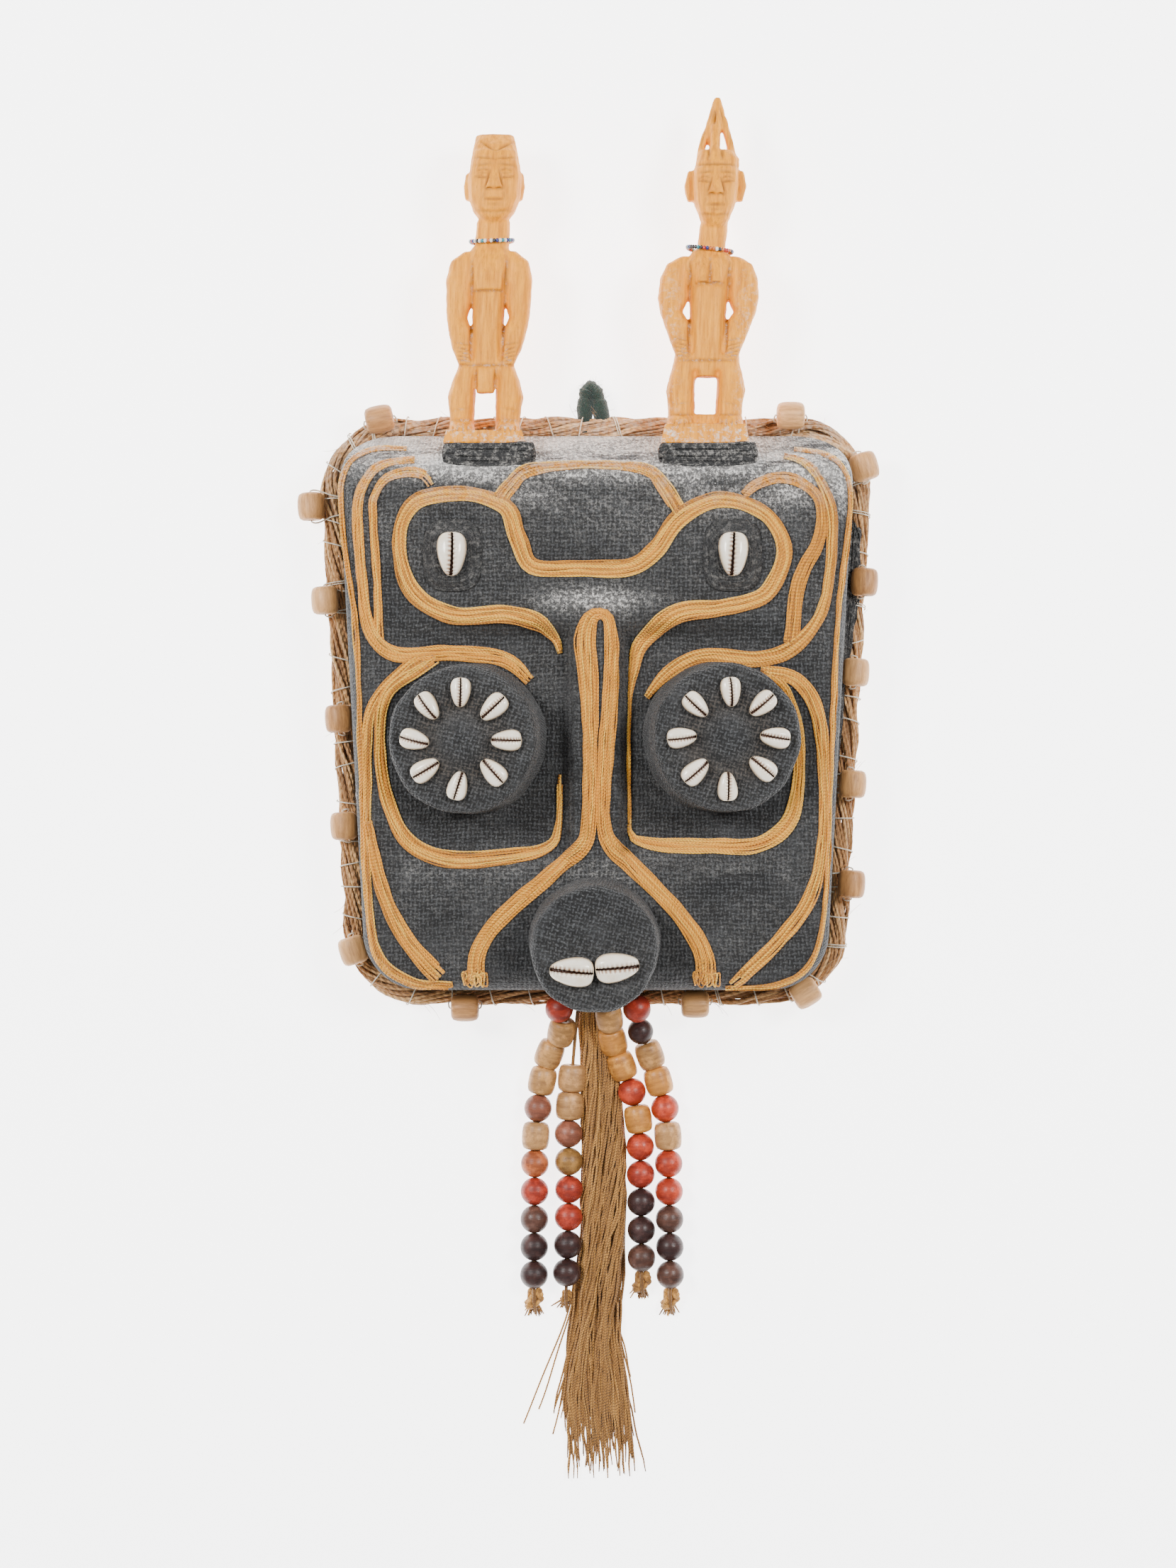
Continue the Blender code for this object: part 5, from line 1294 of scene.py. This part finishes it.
# The carved figures in mm from the soles: height, centre x, centre z, half width, half depth.
MAN = {
    "torso": (
        (30, 0, 0, 12.5, 10.5), (35, 0, 0, 9.2, 11.5), (45, 0, 0, 8.4, 11.5), (60, 0, 0, 8.7, 11.5),
        (73, 0, 0, 8.9, 11.5), (74.5, 0, 0, 9.8, 12.3), (84, 0, 0, 11.5, 12), (91, 0, 0, 13.5, 10.5),
        (96, 0, -0.5, 11.5, 9), (99, 0, -0.5, 9.2, 8),
    ),
    "neck": ((90, 0, 0, 9.8, 8), (100, 0.9, 0, 9.4, 7.6), (112, 1.2, 0, 9.2, 8)),
    "head": (
        (111, 1.4, 2, 5.5, 6), (113, 1.4, 2, 8, 9), (117, 1.4, 2, 11.2, 11), (124, 1.4, 1.5, 14, 12.3),
        (135, 1.4, 1, 14.6, 12.5), (142, 1.2, 0.5, 13.5, 12.3), (149, 0.9, 0, 12.4, 11),
    ),
    "hair": ((146, 1, 0, 12.9, 11.5), (152, 0.8, -1, 11.9, 10), (158.5, 0.5, -3, 10.6, 7.2)),
    "nose": ((127.5, 1.4, 12, 5.3, 3.6), (130, 1.4, 12.6, 4.2, 3.4), (139, 1.4, 11.6, 2.4, 1.6)),
    "flap": ((20, 0, 8.5, 4.9, 3), (25, 0, 9, 5.2, 3.4), (33, 0, 9, 5.6, 3.2)),
    "arm": (
        (96, 10.5, 0, 4, 5.5), (91, 14.8, 0, 6.5, 7), (81, 16.2, 0, 7.4, 7.8), (69, 16, 0.5, 7.1, 7.4),
        (61, 17, 1.2, 5.6, 7), (54, 15, 3, 6.4, 6.6), (44, 13.6, 5, 5.4, 6), (38, 12.1, 6.5, 4.1, 5.2),
        (35, 11.5, 7, 3.5, 4.2),
    ),
    "leg": (
        (37, 8.8, 0, 6.4, 10.5), (34.5, 9, 0, 6.4, 11), (27.5, 11.9, 0.5, 6.4, 11),
        (19, 13, 1, 7.6, 10.5), (9.6, 12.5, 1, 6.8, 9.4), (4, 12.3, 1, 6.4, 9),
        (2.5, 12.4, 1.5, 6.8, 11.5), (-1, 12.4, 1.5, 7, 12),
    ),
    "ear": ((124, 13.7, -1, 2, 3), (131, 14.4, -1, 2.4, 3.8), (138, 13.9, -1, 1.8, 3)),
}
WOMAN = {
    "torso": (
        (30, 0, 0, 14, 10.5), (36, 0, 0, 10.5, 11.5), (45, 0, 0, 9.9, 11.5), (60, 0, 0, 9.9, 11.5),
        (73, 0, 0, 10.4, 11.5), (82, 0, 0, 12.5, 12), (88, 0, 0, 15, 10.5), (93, 0, -0.5, 11, 9),
        (96, 0, -0.5, 8.6, 8),
    ),
    "neck": ((86, 0, 0, 8.6, 8), (97, 0.8, 0, 7.7, 7.4), (110, 1.8, 0, 7.7, 8)),
    "head": (
        (108, 2, 2, 6, 7), (109.5, 2, 2, 6.9, 8.5), (114, 2, 2, 8.6, 11), (121, 2, 1.5, 11.3, 12),
        (131, 2, 1, 12.4, 12.5), (139, 2, 0.5, 12.2, 12), (144, 2, 0, 11, 11),
    ),
    "hair": ((138, 2.4, 0, 12, 11.5), (145, 2.8, 0, 12, 10.5), (149.5, 1.6, 0, 9.6, 8.5)),
    "ridge": (
        (139, 1.2, 6, 3.2, 6.5), (149, 0.8, 3.5, 3, 6), (158, 1, 1.5, 3, 5), (166, 1.4, 0, 2.6, 4),
        (176, 1.7, -1, 1.4, 2.4),
    ),
    "prong_left": (
        (142, -6.6, 0, 2.8, 5), (149, -6.4, 0, 2.2, 4.4), (156, -5.2, -0.5, 2, 4),
        (162, -2.6, -1, 2.2, 3.6), (168, -0.9, -1.5, 2.2, 3.2),
    ),
    "prong_right": (
        (142, 11.8, 0, 3, 5), (149, 10.2, 0, 2.2, 4.4), (156, 8.6, -0.5, 2, 4),
        (162, 6.6, -1, 2.2, 3.6), (168, 5, -1.5, 2.2, 3.2),
    ),
    "tip": (
        (161, 2, -1, 6.6, 4.5), (166, 1.9, -1.5, 5.2, 4.2), (172, 1.8, -2, 4, 3.6),
        (179.5, 1.7, -2, 1.6, 2),
    ),
    "nose": ((124, 2, 12, 4.3, 3.4), (126.5, 2, 12.6, 3.4, 3.2), (135, 2, 11.6, 1.9, 1.6)),
    "flap": ((26, 0, 6, 5.2, 5), (30, 0, 8, 5.4, 3.6), (36, 0, 8, 5.6, 3.4)),
    "arm": (
        (92, 12, 0, 4.5, 5.5), (88, 16.5, 0, 6.8, 7), (81, 18.9, 0, 7.6, 7.8), (70, 19, 0.5, 8.6, 7.4),
        (62, 20, 1.2, 6.1, 7), (56, 17, 3, 7, 6.6), (45.5, 14.7, 5, 5.5, 6),
        (38.6, 13.4, 6.5, 4.1, 5.2), (36, 13, 7, 3.5, 4.2),
    ),
    "leg": (
        (38, 10.5, 0, 7.2, 10.5), (35, 11, 0, 7, 11), (27.6, 12.8, 0.5, 7, 11),
        (19.3, 13.8, 1, 7.8, 10.5), (9.6, 12.8, 1, 7.3, 9.4), (6, 12.8, 1, 7.2, 9.5),
        (2.5, 12.9, 1.5, 7.8, 11.5), (-1, 12.9, 1.5, 8, 12),
    ),
    "between": ((-1, 0, 0, 12, 10), (6, 0, -1, 10, 9)),
    "ear": ((122.6, 13.2, -1, 1.9, 3), (131, 14.7, -1, 2.4, 4), (139, 13.4, -1, 1.8, 3)),
    "breast": (
        (75.4, 4.1, 8.5, 3, 4.4), (77, 4, 9.3, 3.3, 5.2), (84, 3.9, 8.6, 3, 4),
        (90, 3.6, 7.8, 2.2, 2.8),
    ),
}
PAIRS = ("arm", "leg", "ear", "breast")
ROUNDER = ("torso", "head", "arm", "leg", "neck")
# Each face in mm: middle, brow, upper lid, lower lid, nostrils, mouth, chin and the eyes' reach.
MAN_FACE = (1.4, 141.5, 138.4, 133.4, 127.4, 122, 116, 9.4)
WOMAN_FACE = (2, 137.2, 134, 130.8, 124, 118.5, 113.5, 8.4)


def strokes_of(man):
    """The knife's grooves in mm, from the front: start, end, width and depth. The face is nobody's."""
    mid, brow, lid, low_lid, nostril, mouth, chin, wide = MAN_FACE if man else WOMAN_FACE
    found = []
    for s in (-1, 1):
        found += [
            ((mid + s * 3.6, lid - 0.9), (mid + s * 6.4, lid), 0.50, 1.0),
            ((mid + s * 6.4, lid), (mid + s * 9.0, lid - 0.9), 0.50, 0.9),
            ((mid + s * 3.0, low_lid - 0.2), (mid + s * (wide + 1.0), low_lid + 0.9), 0.50, 1.5),
            ((mid + s * 4.0, lid - 2.6), (mid + s * 8.6, lid - 2.4), 0.70, 0.5),
            ((mid + s * 2.4, brow - 0.6), (mid + s * (wide + 1), brow - 1.2), 0.75, 0.8),
            ((mid + s * 2.6, lid - 1), (mid + s * 5.2, nostril + 0.6), 0.60, 1.2),
            ((mid + s * 5.0, nostril), (mid + s * 1.2, nostril - 0.3), 0.60, 1.5),
            ((mid + s * 5.2, nostril - 1.2), (mid + s * 6.2, mouth - 0.5), 0.5, 0.5),
        ]
        hand = 12.1 if man else 13.6
        for k in range(4):
            found.append(
                ((s * (hand - 3.4), 36.4 + 2.0 * k), (s * (hand + 3.4), 37.4 + 2.2 * k), 0.40, 1.2)
            )
            toe = s * (8.6 + 2.8 * k)
            found.append(((toe, -1.5), (toe, 2.4), 0.40, 1.2))
        side = 9.6 if man else 11.0
        found += [
            ((s * (hand - 3.6), 45.4), (s * (hand + 4.6), 46.6), 0.55, 0.7),
            ((s * side, 90 if man else 88), (s * (side - 0.6), 72), 0.80, 1.0),
            ((s * (side - 0.6), 72), (s * (side - 1.2), 37), 0.70, 1.2),
            ((s * 6.5, 5.6), (s * 19.0, 5.4), 0.60, 0.8),
            ((s * 9, 12), (s * 17, 10.6), 0.6, 0.4),
        ]
    found += [
        ((mid - 4.8, mouth), (mid + 4.8, mouth), 0.55, 1.5),
        ((mid - 3.2, mouth - 2.6), (mid + 3.2, mouth - 2.6), 0.6, 0.6),
        ((mid - 9, chin + 0.6), (mid, chin - 0.8), 0.7, 0.6),
        ((mid, chin - 0.8), (mid + 9, chin + 0.6), 0.7, 0.6),
        ((-14.5, 34.6), (14.5, 34.6), 0.65, 1.1),
    ]
    if man:
        found += [
            ((-9, 73.9), (9, 73.9), 0.60, 1.3),
            ((mid - 8, 153.5), (mid, 148.0), 0.6, 1.1),
            ((mid, 148.0), (mid + 9, 153.5), 0.6, 1.1),
            ((mid - 12, 145.0), (mid, 143.6), 0.7, 0.8),
            ((mid, 143.6), (mid + 12, 145.0), 0.7, 0.8),
            ((-5.5, 33), (-5.0, 20), 0.55, 1.1),
            ((5.5, 33), (5.0, 20), 0.55, 1.1),
        ]
    else:
        found += [
            ((mid - 11, 140.6), (mid + 11, 140.6), 0.7, 1.1),
            ((0.1, 90), (0.1, 76.5), 0.65, 1.4),
            ((-7.2, 76.0), (7.2, 76.0), 0.6, 1.3),
            ((0.1, 164.5), (0.4, 171.0), 0.75, 2.4),
            ((-3.2, 164), (-0.6, 174), 0.5, 0.7),
            ((6.4, 163), (3.4, 173), 0.5, 0.8),
            ((-2.6, 150), (-2.4, 143.5), 0.7, 1.2),
            ((4.6, 150), (5.0, 143.5), 0.8, 1.3),
            ((-4.6, 161), (-7.4, 150), 0.4, 0.7),
            ((8.6, 161), (10.8, 150), 0.4, 0.7),
        ]
    return found


def figure_piece(side, parts, man, x, lean, paint):
    """A figure lofted in parts, fused by a voxel remesh, then cut with facets and knife strokes."""
    points, faces, count = [], [], 0
    for key, sections in parts.items():
        for mirror in ((1, -1) if key in PAIRS else (1,)):
            p, f = loft_arrays(sections, 16 if key in ROUNDER else 12, 0.74, mirror)
            if key == "ear":
                p[:, 0] += 0.001 if man else 0.002
            if mirror < 0:
                f = [list(reversed(face)) for face in f]
            points.append(p)
            faces += [[i + count for i in face] for face in f]
            count += len(p)
    half = 0.0225 if man else 0.0240
    sole = -0.0070 if man else -0.0105
    corners = np.array([
        [a * (half if b < 0 else half - 0.0022), b, c]
        for a in (-1, 1) for b in (sole, 0.0) for c in (-0.0142, 0.0142)
    ])
    points.append(corners)
    faces += [[i + count for i in f] for f in BOX_FACES]
    mesh = bpy.data.meshes.new(f"figure_{side}_wood")
    mesh.from_pydata(np.concatenate(points).tolist(), [], faces)
    mesh.update()
    obj = link(f"figure_{side}_wood", mesh)
    bm = bmesh.new()
    bm.from_mesh(mesh)
    bmesh.ops.recalc_face_normals(bm, faces=bm.faces)
    bm.to_mesh(mesh)
    bm.free()
    remesh = obj.modifiers.new("fuse", "REMESH")
    remesh.mode = "VOXEL"
    remesh.voxel_size = FIGURE_VOXEL
    relax = obj.modifiers.new("relax", "SMOOTH")
    relax.factor, relax.iterations = 0.5, 3
    bpy.context.view_layer.update()
    fused = bpy.data.meshes.new_from_object(obj.evaluated_get(bpy.context.evaluated_depsgraph_get()))
    obj.modifiers.clear()
    n = len(fused.vertices)
    co, no = np.empty((n, 3)), np.empty((n, 3))
    fused.vertices.foreach_get("co", co.ravel())
    fused.vertices.foreach_get("normal", no.ravel())
    carve = np.zeros(n)
    front = np.clip(no[:, 2] * 1.6, 0, 1)
    flat = co[:, :2] * 1000
    for a, b, width, depth in strokes_of(man):
        a, b = np.array(a, float), np.array(b, float)
        run = b - a
        t = np.clip(((flat - a) @ run) / (run @ run), 0, 1)
        gap = np.linalg.norm(flat - (a + t[:, None] * run), axis=1)
        taper = 0.35 + 0.65 * np.sin(np.pi * np.clip(t, 0.05, 0.95))
        cut = np.exp(-((gap / width) ** 2)) * front * taper
        carve = np.maximum(carve, cut * depth)
    facet = np.array([noise.voronoi(Vector(c * 210))[0][0] for c in co])
    chip = (facet - facet.mean()) * 0.00042
    co = co - no * (carve * 0.00095)[:, None] - no * chip[:, None]
    if man:
        co[:, 1] = co[:, 1] * 1.022 - 0.0034
    final = co + np.array(ORIGIN + Vector((x, FIGURE_FOOT, FIGURE_Z)))
    final[:, 0] += lean * np.clip(co[:, 1], 0, None)
    fused.vertices.foreach_set("co", final.ravel())
    dusty = smooth(0.006, -0.006, co[:, 1]) * 0.9 + 0.02
    dusty += 0.55 * np.clip(carve, 0, 1) * (co[:, 1] < 0.10)
    if not man:
        dusty += 0.45 * smooth(0.012, 0.022, np.abs(co[:, 0])) * smooth(0.10, 0.06, co[:, 1])
    for key, values in (("carve", np.clip(carve * 1.1, 0, 1)), ("dust", dusty)):
        fused.attributes.new(key, "FLOAT", "POINT").data.foreach_set("value", values.astype(np.float32))
    grain = (co + (0.3 if man else 0.7))[:, [1, 0, 2]].astype(np.float32)
    fused.attributes.new("grain", "FLOAT_VECTOR", "POINT").data.foreach_set("vector", grain.ravel())
    fused.materials.clear()
    fused.materials.append(paint)
    fused.shade_smooth()
    obj.data = fused
    fused.name = f"figure_{side}_wood"
    settle(obj, [f"figure_{side}"])


def small_sphere(sides=8, rings=5):
    angle = 2 * np.pi * np.arange(sides) / sides
    tilt = np.pi * (np.arange(rings) + 0.5) / rings
    c, s = np.cos(tilt)[:, None], np.sin(tilt)[:, None]
    p = stack(s * np.cos(angle), s * np.sin(angle), c)
    faces = [f[::-1] for f in grid_faces(rings, sides, closed=True).tolist()]
    faces += [list(range(sides)), [(rings - 1) * sides + k for k in reversed(range(sides))]]
    return p.reshape(-1, 3), faces


def necklace_piece(side, x, lean, height, wide, tilt, paint):
    """Seed beads threaded around the neck, resting on the shoulders."""
    ball, ball_faces = small_sphere()
    count = 44
    points, faces, tint = [], [], []
    for i in range(count):
        a = 2 * math.pi * i / count
        sag = tilt * math.cos(a + 0.3)
        y = FIGURE_FOOT + height + sag - 0.0016 * max(0.0, math.sin(a))
        centre = np.array([x + lean * height + wide * math.cos(a), y, FIGURE_Z + 0.0104 * math.sin(a)])
        start = len(points) * len(ball)
        points.append(ball * np.array([0.00105, 0.00125, 0.00105]) + centre)
        faces += [[start + k for k in f] for f in ball_faces]
        tint.append(np.full(len(ball), rng.uniform(0, 0.999)))
    tint = {"tint": np.concatenate(tint)}
    make_object(
        f"necklace_{side}_beads", np.concatenate(points), faces, paint, tint, [f"necklace_{side}"],
    )


def base_wrap_piece(side, x, paint, width):
    """Black cord wound many times around the foot of a figure, fuller at the middle."""
    low, high = (Vector(c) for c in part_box(f"base_wrap_{side}"))
    y0, y1 = low.y - ORIGIN.y, high.y - ORIGIN.y
    deep, mid_z = (high.z - low.z) / 2, (high.z + low.z) / 2
    tubes = Tubes(6)
    turns = 13
    for k in range(turns):
        share = k / (turns - 1)
        y = y1 - 0.0008 - (y1 - y0 - 0.0018) * share
        full = 1 + 0.045 * math.sin(math.pi * share)
        a = np.linspace(0, 2 * np.pi, 64)
        c, s = squarish(a, 0.34)
        px = x + (width / 2 - 0.0008) * full * c
        pz = mid_z + (deep * full - 0.0004) * s
        bow = -0.0016 * share * (1 - ((px - x) / (width / 2)) ** 2)
        py = y + bow + 0.0005 * np.sin(a * 2 + k * 1.7) + 0.0003 * np.sin(a * 7 + k * 2.9)
        pz = np.maximum(pz, surface(px, np.clip(py, -0.15, 0.1515)) + 0.0006)
        tubes.add(stack(px, py, pz), 0.00078, rng.uniform(0.3, 0.7), 0.0018, up=(0, 1, 0))
    core = [
        [x + sx * (width / 2 - 0.0012), cy, cz]
        for sx in (-1, 1)
        for cy in (y0 + 0.001, y1 - 0.0005)
        for cz in (mid_z - deep + 0.002, mid_z + deep - 0.0010)
    ]
    tubes.solid(np.array(core), BOX_FACES)
    tubes.build(f"base_winding_{side}", paint, [f"base_wrap_{side}"], "black_cord", 0.55)


def frayed_strip(paint):
    """A torn strip of black cloth that shows between the rope and the face on the right."""
    tubes = Tubes(5)
    for k in range(26):
        top, end = 0.106 - rng.uniform(0, 0.012), rng.uniform(-0.040, 0.050)
        y = np.linspace(top, end, 50)
        wide = np.interp(
            y, (-0.04, 0.02, 0.060, 0.100, 0.106), (0.0010, 0.0030, 0.0070, 0.0066, 0.0030)
        )
        lane = k / 25 + 0.16 * np.sin(y * 130 + k) + 0.08 * np.sin(y * 410 + 2 * k)
        x = half_width(y) + 0.0010 + wide * lane
        z = 0.0185 - 0.0050 * lane + 0.0010 * np.sin(y * 300 + k * 1.3)
        tubes.add(stack(x, y, z), 0.00055, rng.uniform(0, 1), 0.0016)
    tubes.build("frayed_strip", paint, (), "black_cord", 0.35)


FLOOR_HALF = 6.0
FLOOR_Z = -0.0002
CAMERA_PLACE = Vector((-0.0044, -0.040, 1.6))
# Each lamp's name, place, size in metres and power in watts.
LAMPS = (
    ("left", (-0.80, 0.42, 1.25), 0.40, 24.0),
    ("right", (0.80, 0.38, 1.25), 0.40, 22.0),
    ("low", (-0.6, -2.0, 1.6), 1.5, 9.0),
)


def stage_and_light():
    """A pale floor, a lamp at each side, a weak one below, and the camera straight above."""
    mesh = bpy.data.meshes.new("floor")
    corners = [
        (FLOOR_HALF * x, FLOOR_HALF * y, FLOOR_Z) for x, y in ((-1, -1), (1, -1), (1, 1), (-1, 1))
    ]
    mesh.from_pydata(corners, [], [(0, 1, 2, 3)])
    floor = link("floor", mesh)
    p = Paint("floor", 0.9)
    p.shader.inputs["Emission Color"].default_value = (1, 1, 1, 1)
    p.shader.inputs["Emission Strength"].default_value = 4.2
    mesh.materials.append(
        p.finish(p.mix(p.spread(p.noise(3.0), 0.3, 0.7), (0.93, 0.93, 0.93), (0.95, 0.95, 0.95)))
    )
    for name, place, size, energy in LAMPS:
        light = bpy.data.lights.new(name, "AREA")
        light.energy, light.size = energy, size
        lamp = link(name, light)
        lamp.location = place
        lamp.rotation_euler = (-Vector(place)).to_track_quat("-Z", "Y").to_euler()
    world = bpy.context.scene.world or bpy.data.worlds.new("studio")
    bpy.context.scene.world = world
    world.use_nodes = True
    sky = world.node_tree.nodes["Background"]
    sky.inputs["Color"].default_value = (1, 1, 1, 1)
    sky.inputs["Strength"].default_value = 0.38
    camera = bpy.data.cameras.new("camera")
    camera.sensor_fit = "VERTICAL"
    camera.sensor_height = 36.0
    camera.lens = 65.96
    camera.clip_end = 50
    eye = link("camera", camera)
    eye.location = ORIGIN + CAMERA_PLACE
    bpy.context.scene.camera = eye


# Light and dark tone of each wood.
EDGE_WOODS = (
    ((0.72, 0.375, 0.140), (0.38, 0.180, 0.064)),
    ((0.60, 0.295, 0.105), (0.30, 0.135, 0.048)),
    ((0.80, 0.440, 0.180), (0.46, 0.230, 0.088)),
)
STRING_SHADES = {
    "red": ((0.40, 0.040, 0.018), (0.150, 0.015, 0.010)),
    "bright": ((0.47, 0.050, 0.018), (0.20, 0.018, 0.010)),
    "orange": ((0.42, 0.110, 0.032), (0.17, 0.040, 0.016)),
    "pink": ((0.26, 0.086, 0.048), (0.12, 0.040, 0.024)),
    "brown": ((0.100, 0.043, 0.029), (0.036, 0.016, 0.012)),
    "dark": ((0.050, 0.021, 0.018), (0.016, 0.007, 0.007)),
    "tan": ((0.50, 0.250, 0.078), (0.22, 0.105, 0.037)),
    "beige": ((0.50, 0.260, 0.095), (0.26, 0.125, 0.045)),
    "yellow": ((0.60, 0.245, 0.045), (0.30, 0.115, 0.022)),
    "olive": ((0.30, 0.150, 0.038), (0.14, 0.066, 0.020)),
}


def build():
    stage_and_light()
    burlap = burlap_paint("burlap")
    ochre = thread_paint(
        "ochre_thread", (0.38, 0.130, 0.007), (0.96, 0.385, 0.018), (1.0, 0.62, 0.085), dusty=0.85
    )
    fibre = thread_paint(
        "rope_fibre", (0.170, 0.074, 0.024), (0.52, 0.255, 0.092), (0.90, 0.56, 0.24), dusty=0.35
    )
    tassel_cord = thread_paint(
        "tassel_cord", (0.140, 0.058, 0.011), (0.43, 0.190, 0.036), (0.82, 0.42, 0.090)
    )
    cord = black_cord_paint()
    shell_white = cowrie_paint()
    white = white_thread_paint()
    # The tone (0.150, 0.056, 0.012) darkens the figures' knife grooves: painted shade in the cuts.
    figure_wood = wood_paint(
        "figure_wood", (1.0, 0.395, 0.006), (0.60, 0.200, 0.004), (60.0, 620.0, 620.0), 0.55,
        (0.150, 0.056, 0.012), 0.75,
    )
    edge_woods = [
        wood_paint(f"edge_bead_wood_{i}", light, dark, (90.0, 620.0, 620.0), 0.42)
        for i, (light, dark) in enumerate(EDGE_WOODS)
    ]
    string_woods = {
        key: wood_paint(f"string_bead_{key}", light, dark, (480.0, 90.0, 90.0), 0.36, blotch=0.5)
        for key, (light, dark) in STRING_SHADES.items()
    }
    shell_piece(burlap)
    for side, sign in SIDES:
        drum_piece(f"eye_drum_{side}", EYE, sign, burlap)
    drum_piece("mouth_drum", MOUTH, 1, burlap)
    for side, sign in SIDES:
        eye_cowries(side, sign, shell_white)
    mouth_cowries(shell_white)
    for side, sign in SIDES:
        small_eye(side, sign, cord, shell_white)
    band_pieces(ochre)
    rope_piece(fibre, white)
    edge_beads(edge_woods, white)
    frayed_strip(cord)
    bead_strings(string_woods, tassel_cord)
    tassel_piece(tassel_cord)
    loop_piece(wool_paint())
    figure_piece("left", MAN, True, -0.0606, 0.032, figure_wood)
    figure_piece("right", WOMAN, False, 0.0590, 0.030, figure_wood)
    seeds = seed_bead_paint()
    necklace_piece("left", -0.0600, 0.032, 0.1012, 0.0116, 0.0004, seeds)
    necklace_piece("right", 0.0590, 0.030, 0.0965, 0.0122, -0.0014, seeds)
    base_wrap_piece("left", -0.0580, cord, 0.0490)
    base_wrap_piece("right", 0.0605, cord, 0.0520)


build()
